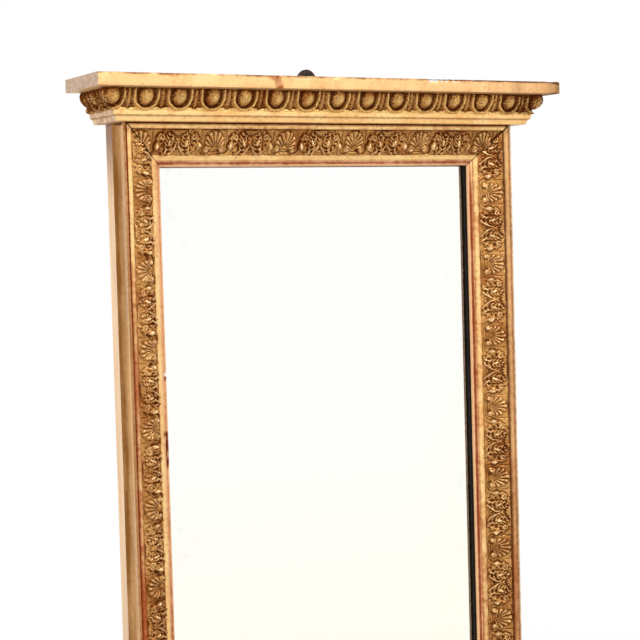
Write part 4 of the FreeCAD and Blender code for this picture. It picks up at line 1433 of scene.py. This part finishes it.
# %% Dressed CAD pieces
grain_up = (1, 1, 0.05)
grain_sideways = (0.05, 1, 1)
board_pine = pine("board_pine", seen(190, 148, 98), seen(142, 98, 58), grain_up, 0.6)
pale_board_pine = pine("pale_board_pine", seen(204, 166, 116), seen(160, 116, 72), grain_up, 0.5)
stile_pine = pine("stile_pine", seen(240, 208, 172), seen(222, 180, 142), grain_up, 0.3, 1.1)
rail_pine = pine("rail_pine", seen(236, 208, 168), seen(214, 176, 132), grain_sideways, 0.3, 1.1)
core_pine = pine("core_pine", seen(196, 156, 106), seen(150, 108, 66), grain_sideways, 0.6)
black_iron = iron()
carried = {
    "backboard_1": board_pine, "backboard_2": pale_board_pine, "backboard_3": board_pine,
    "back_frame_left": stile_pine, "back_frame_right": stile_pine,
    "back_frame_top": rail_pine, "back_frame_bottom": rail_pine,
    "cornice_core": core_pine, "glass_blocks": core_pine,
    "hanging_plate": black_iron, "hanging_screws": black_iron,
    "slab_nails": black_iron, "backboard_nails": black_iron,
}
iron_ease, pine_ease = 0.4, 0.7
for node, finish in carried.items():
    cad_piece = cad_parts[node]
    cad_piece.data.materials.clear()
    cad_piece.data.materials.append(finish)
    edge = cad_piece.modifiers.new("handled_edges", "BEVEL")
    edge.width = (iron_ease if finish == black_iron else pine_ease) * mm
    edge.segments = 2
    edge.limit_method = "ANGLE"
print("finished", len(carried), "CAD pieces")

# %% [markdown]
# ## Floor, light and camera
#
# The studio is plain: a pale floor at the foot of the frame, a dim white room and four soft lamps. The key
# lamp hangs above the front, a little to the right. Weaker ones stand at the front left and low in front,
# and one beside the frame lights its left side. The camera, the gold and the glass see the room as plain
# white, which is what an old mirror shows when it is photographed in a white studio.

# %% Floor
floor_size = 3.0
floor_level = frame_bottom * mm - 0.001
floor_mesh = bpy.data.meshes.new("pale_floor")
floor_corners = [(-floor_size, -floor_size, floor_level), (floor_size, -floor_size, floor_level),
                 (floor_size, floor_size, floor_level), (-floor_size, floor_size, floor_level)]
floor_mesh.from_pydata(floor_corners, [], [(0, 1, 2, 3)])
floor = bpy.data.objects.new("pale_floor", floor_mesh)
bpy.context.collection.objects.link(floor)


def shown_white(start):
    """1 for rays from the camera and for reflections, which see a white studio, and 0 for other light."""
    camera_ray = start.node("ShaderNodeLightPath", {}, {}, "Is Camera Ray")
    glossy_ray = start.node("ShaderNodeLightPath", {}, {}, "Is Glossy Ray")
    through_ray = start.node("ShaderNodeLightPath", {}, {}, "Is Transmission Ray")
    return camera_ray + glossy_ray + through_ray


floor_paint, start, shader = start_finish("pale_floor_paint")
patchy = clouds(start, 400, 3.0)
connect(start, shader, Base_Color=patchy.climb(0.3, 0.7).tint(seen(244, 242, 238), seen(238, 236, 232)))
shader.inputs["Roughness"].default_value = 0.7
on_floor = start.node("ShaderNodeTexCoord", {}, {}, "Object")
from_mirror = start.node("ShaderNodeVectorMath", {"operation": "LENGTH"}, {0: on_floor}, "Value")
fading = 0.72 + from_mirror.climb(1.3, 2.4) * 0.28
glow = start.node("ShaderNodeEmission", {}, {"Color": (1, 1, 1, 1), "Strength": 1.0})
painted = Mask(start.tree, shader.outputs[0])
floor_surface = start.node("ShaderNodeMixShader", {}, {0: shown_white(start) * fading, 1: painted, 2: glow})
start.tree.links.new(floor_surface.socket, start.tree.nodes["Material Output"].inputs["Surface"])
floor_mesh.materials.append(floor_paint)
print("floor at", round(floor_level, 4), "m")

# %% Room light and lamps
world = bpy.data.worlds.new("white_room")
world.use_nodes = True
bpy.context.scene.world = world
room = Mask(world.node_tree)
dim = room.node("ShaderNodeBackground", {}, {"Color": (1, 1, 1, 1), "Strength": 0.24})
white = room.node("ShaderNodeBackground", {}, {"Color": (1, 1, 1, 1), "Strength": 1.0})
sky = room.node("ShaderNodeMixShader", {}, {0: shown_white(room), 1: dim, 2: white})
world.node_tree.links.new(sky.socket, world.node_tree.nodes["World Output"].inputs["Surface"])


def soft_lamp(name, place, aim, size, watts, shines):
    """A square lamp that points at a place on the mirror; only one that shines is seen in the gold."""
    light = bpy.data.lights.new(name, "AREA")
    light.size = size
    light.energy = watts
    lamp = bpy.data.objects.new(name, light)
    bpy.context.collection.objects.link(lamp)
    lamp.location = place
    lamp.visible_glossy = shines
    lamp.rotation_euler = (Vector(place) - Vector(aim)).to_track_quat("Z", "Y").to_euler()
    return lamp


soft_lamp("key_lamp", (0.4, -1.7, 1.35), (0, 0, -0.2), 0.7, 33, True)
soft_lamp("front_lamp", (-1.4, -2.4, 0.1), (0, 0, -0.3), 1.2, 11, False)
soft_lamp("side_lamp", (-2.4, 0.35, 0.1), (-0.2, 0, -0.35), 0.7, 30, False)
soft_lamp("low_lamp", (-0.2, -2.4, -0.8), (0, 0, -0.1), 1.0, 12, False)

# %% Camera
camera_data = bpy.data.cameras.new("photo_camera")
camera_data.lens = 95.6
camera_data.sensor_width = 36.0
camera = bpy.data.objects.new("photo_camera", camera_data)
bpy.context.collection.objects.link(camera)
camera.location = (-0.85882, -1.60504, -0.16804)
camera.rotation_euler = [radians(angle) for angle in (87.2315, 1.5967, -28.4787)]
bpy.context.scene.camera = camera
bpy.context.scene.view_settings.view_transform = "Standard"
print("camera at", [round(v, 3) for v in camera.location])
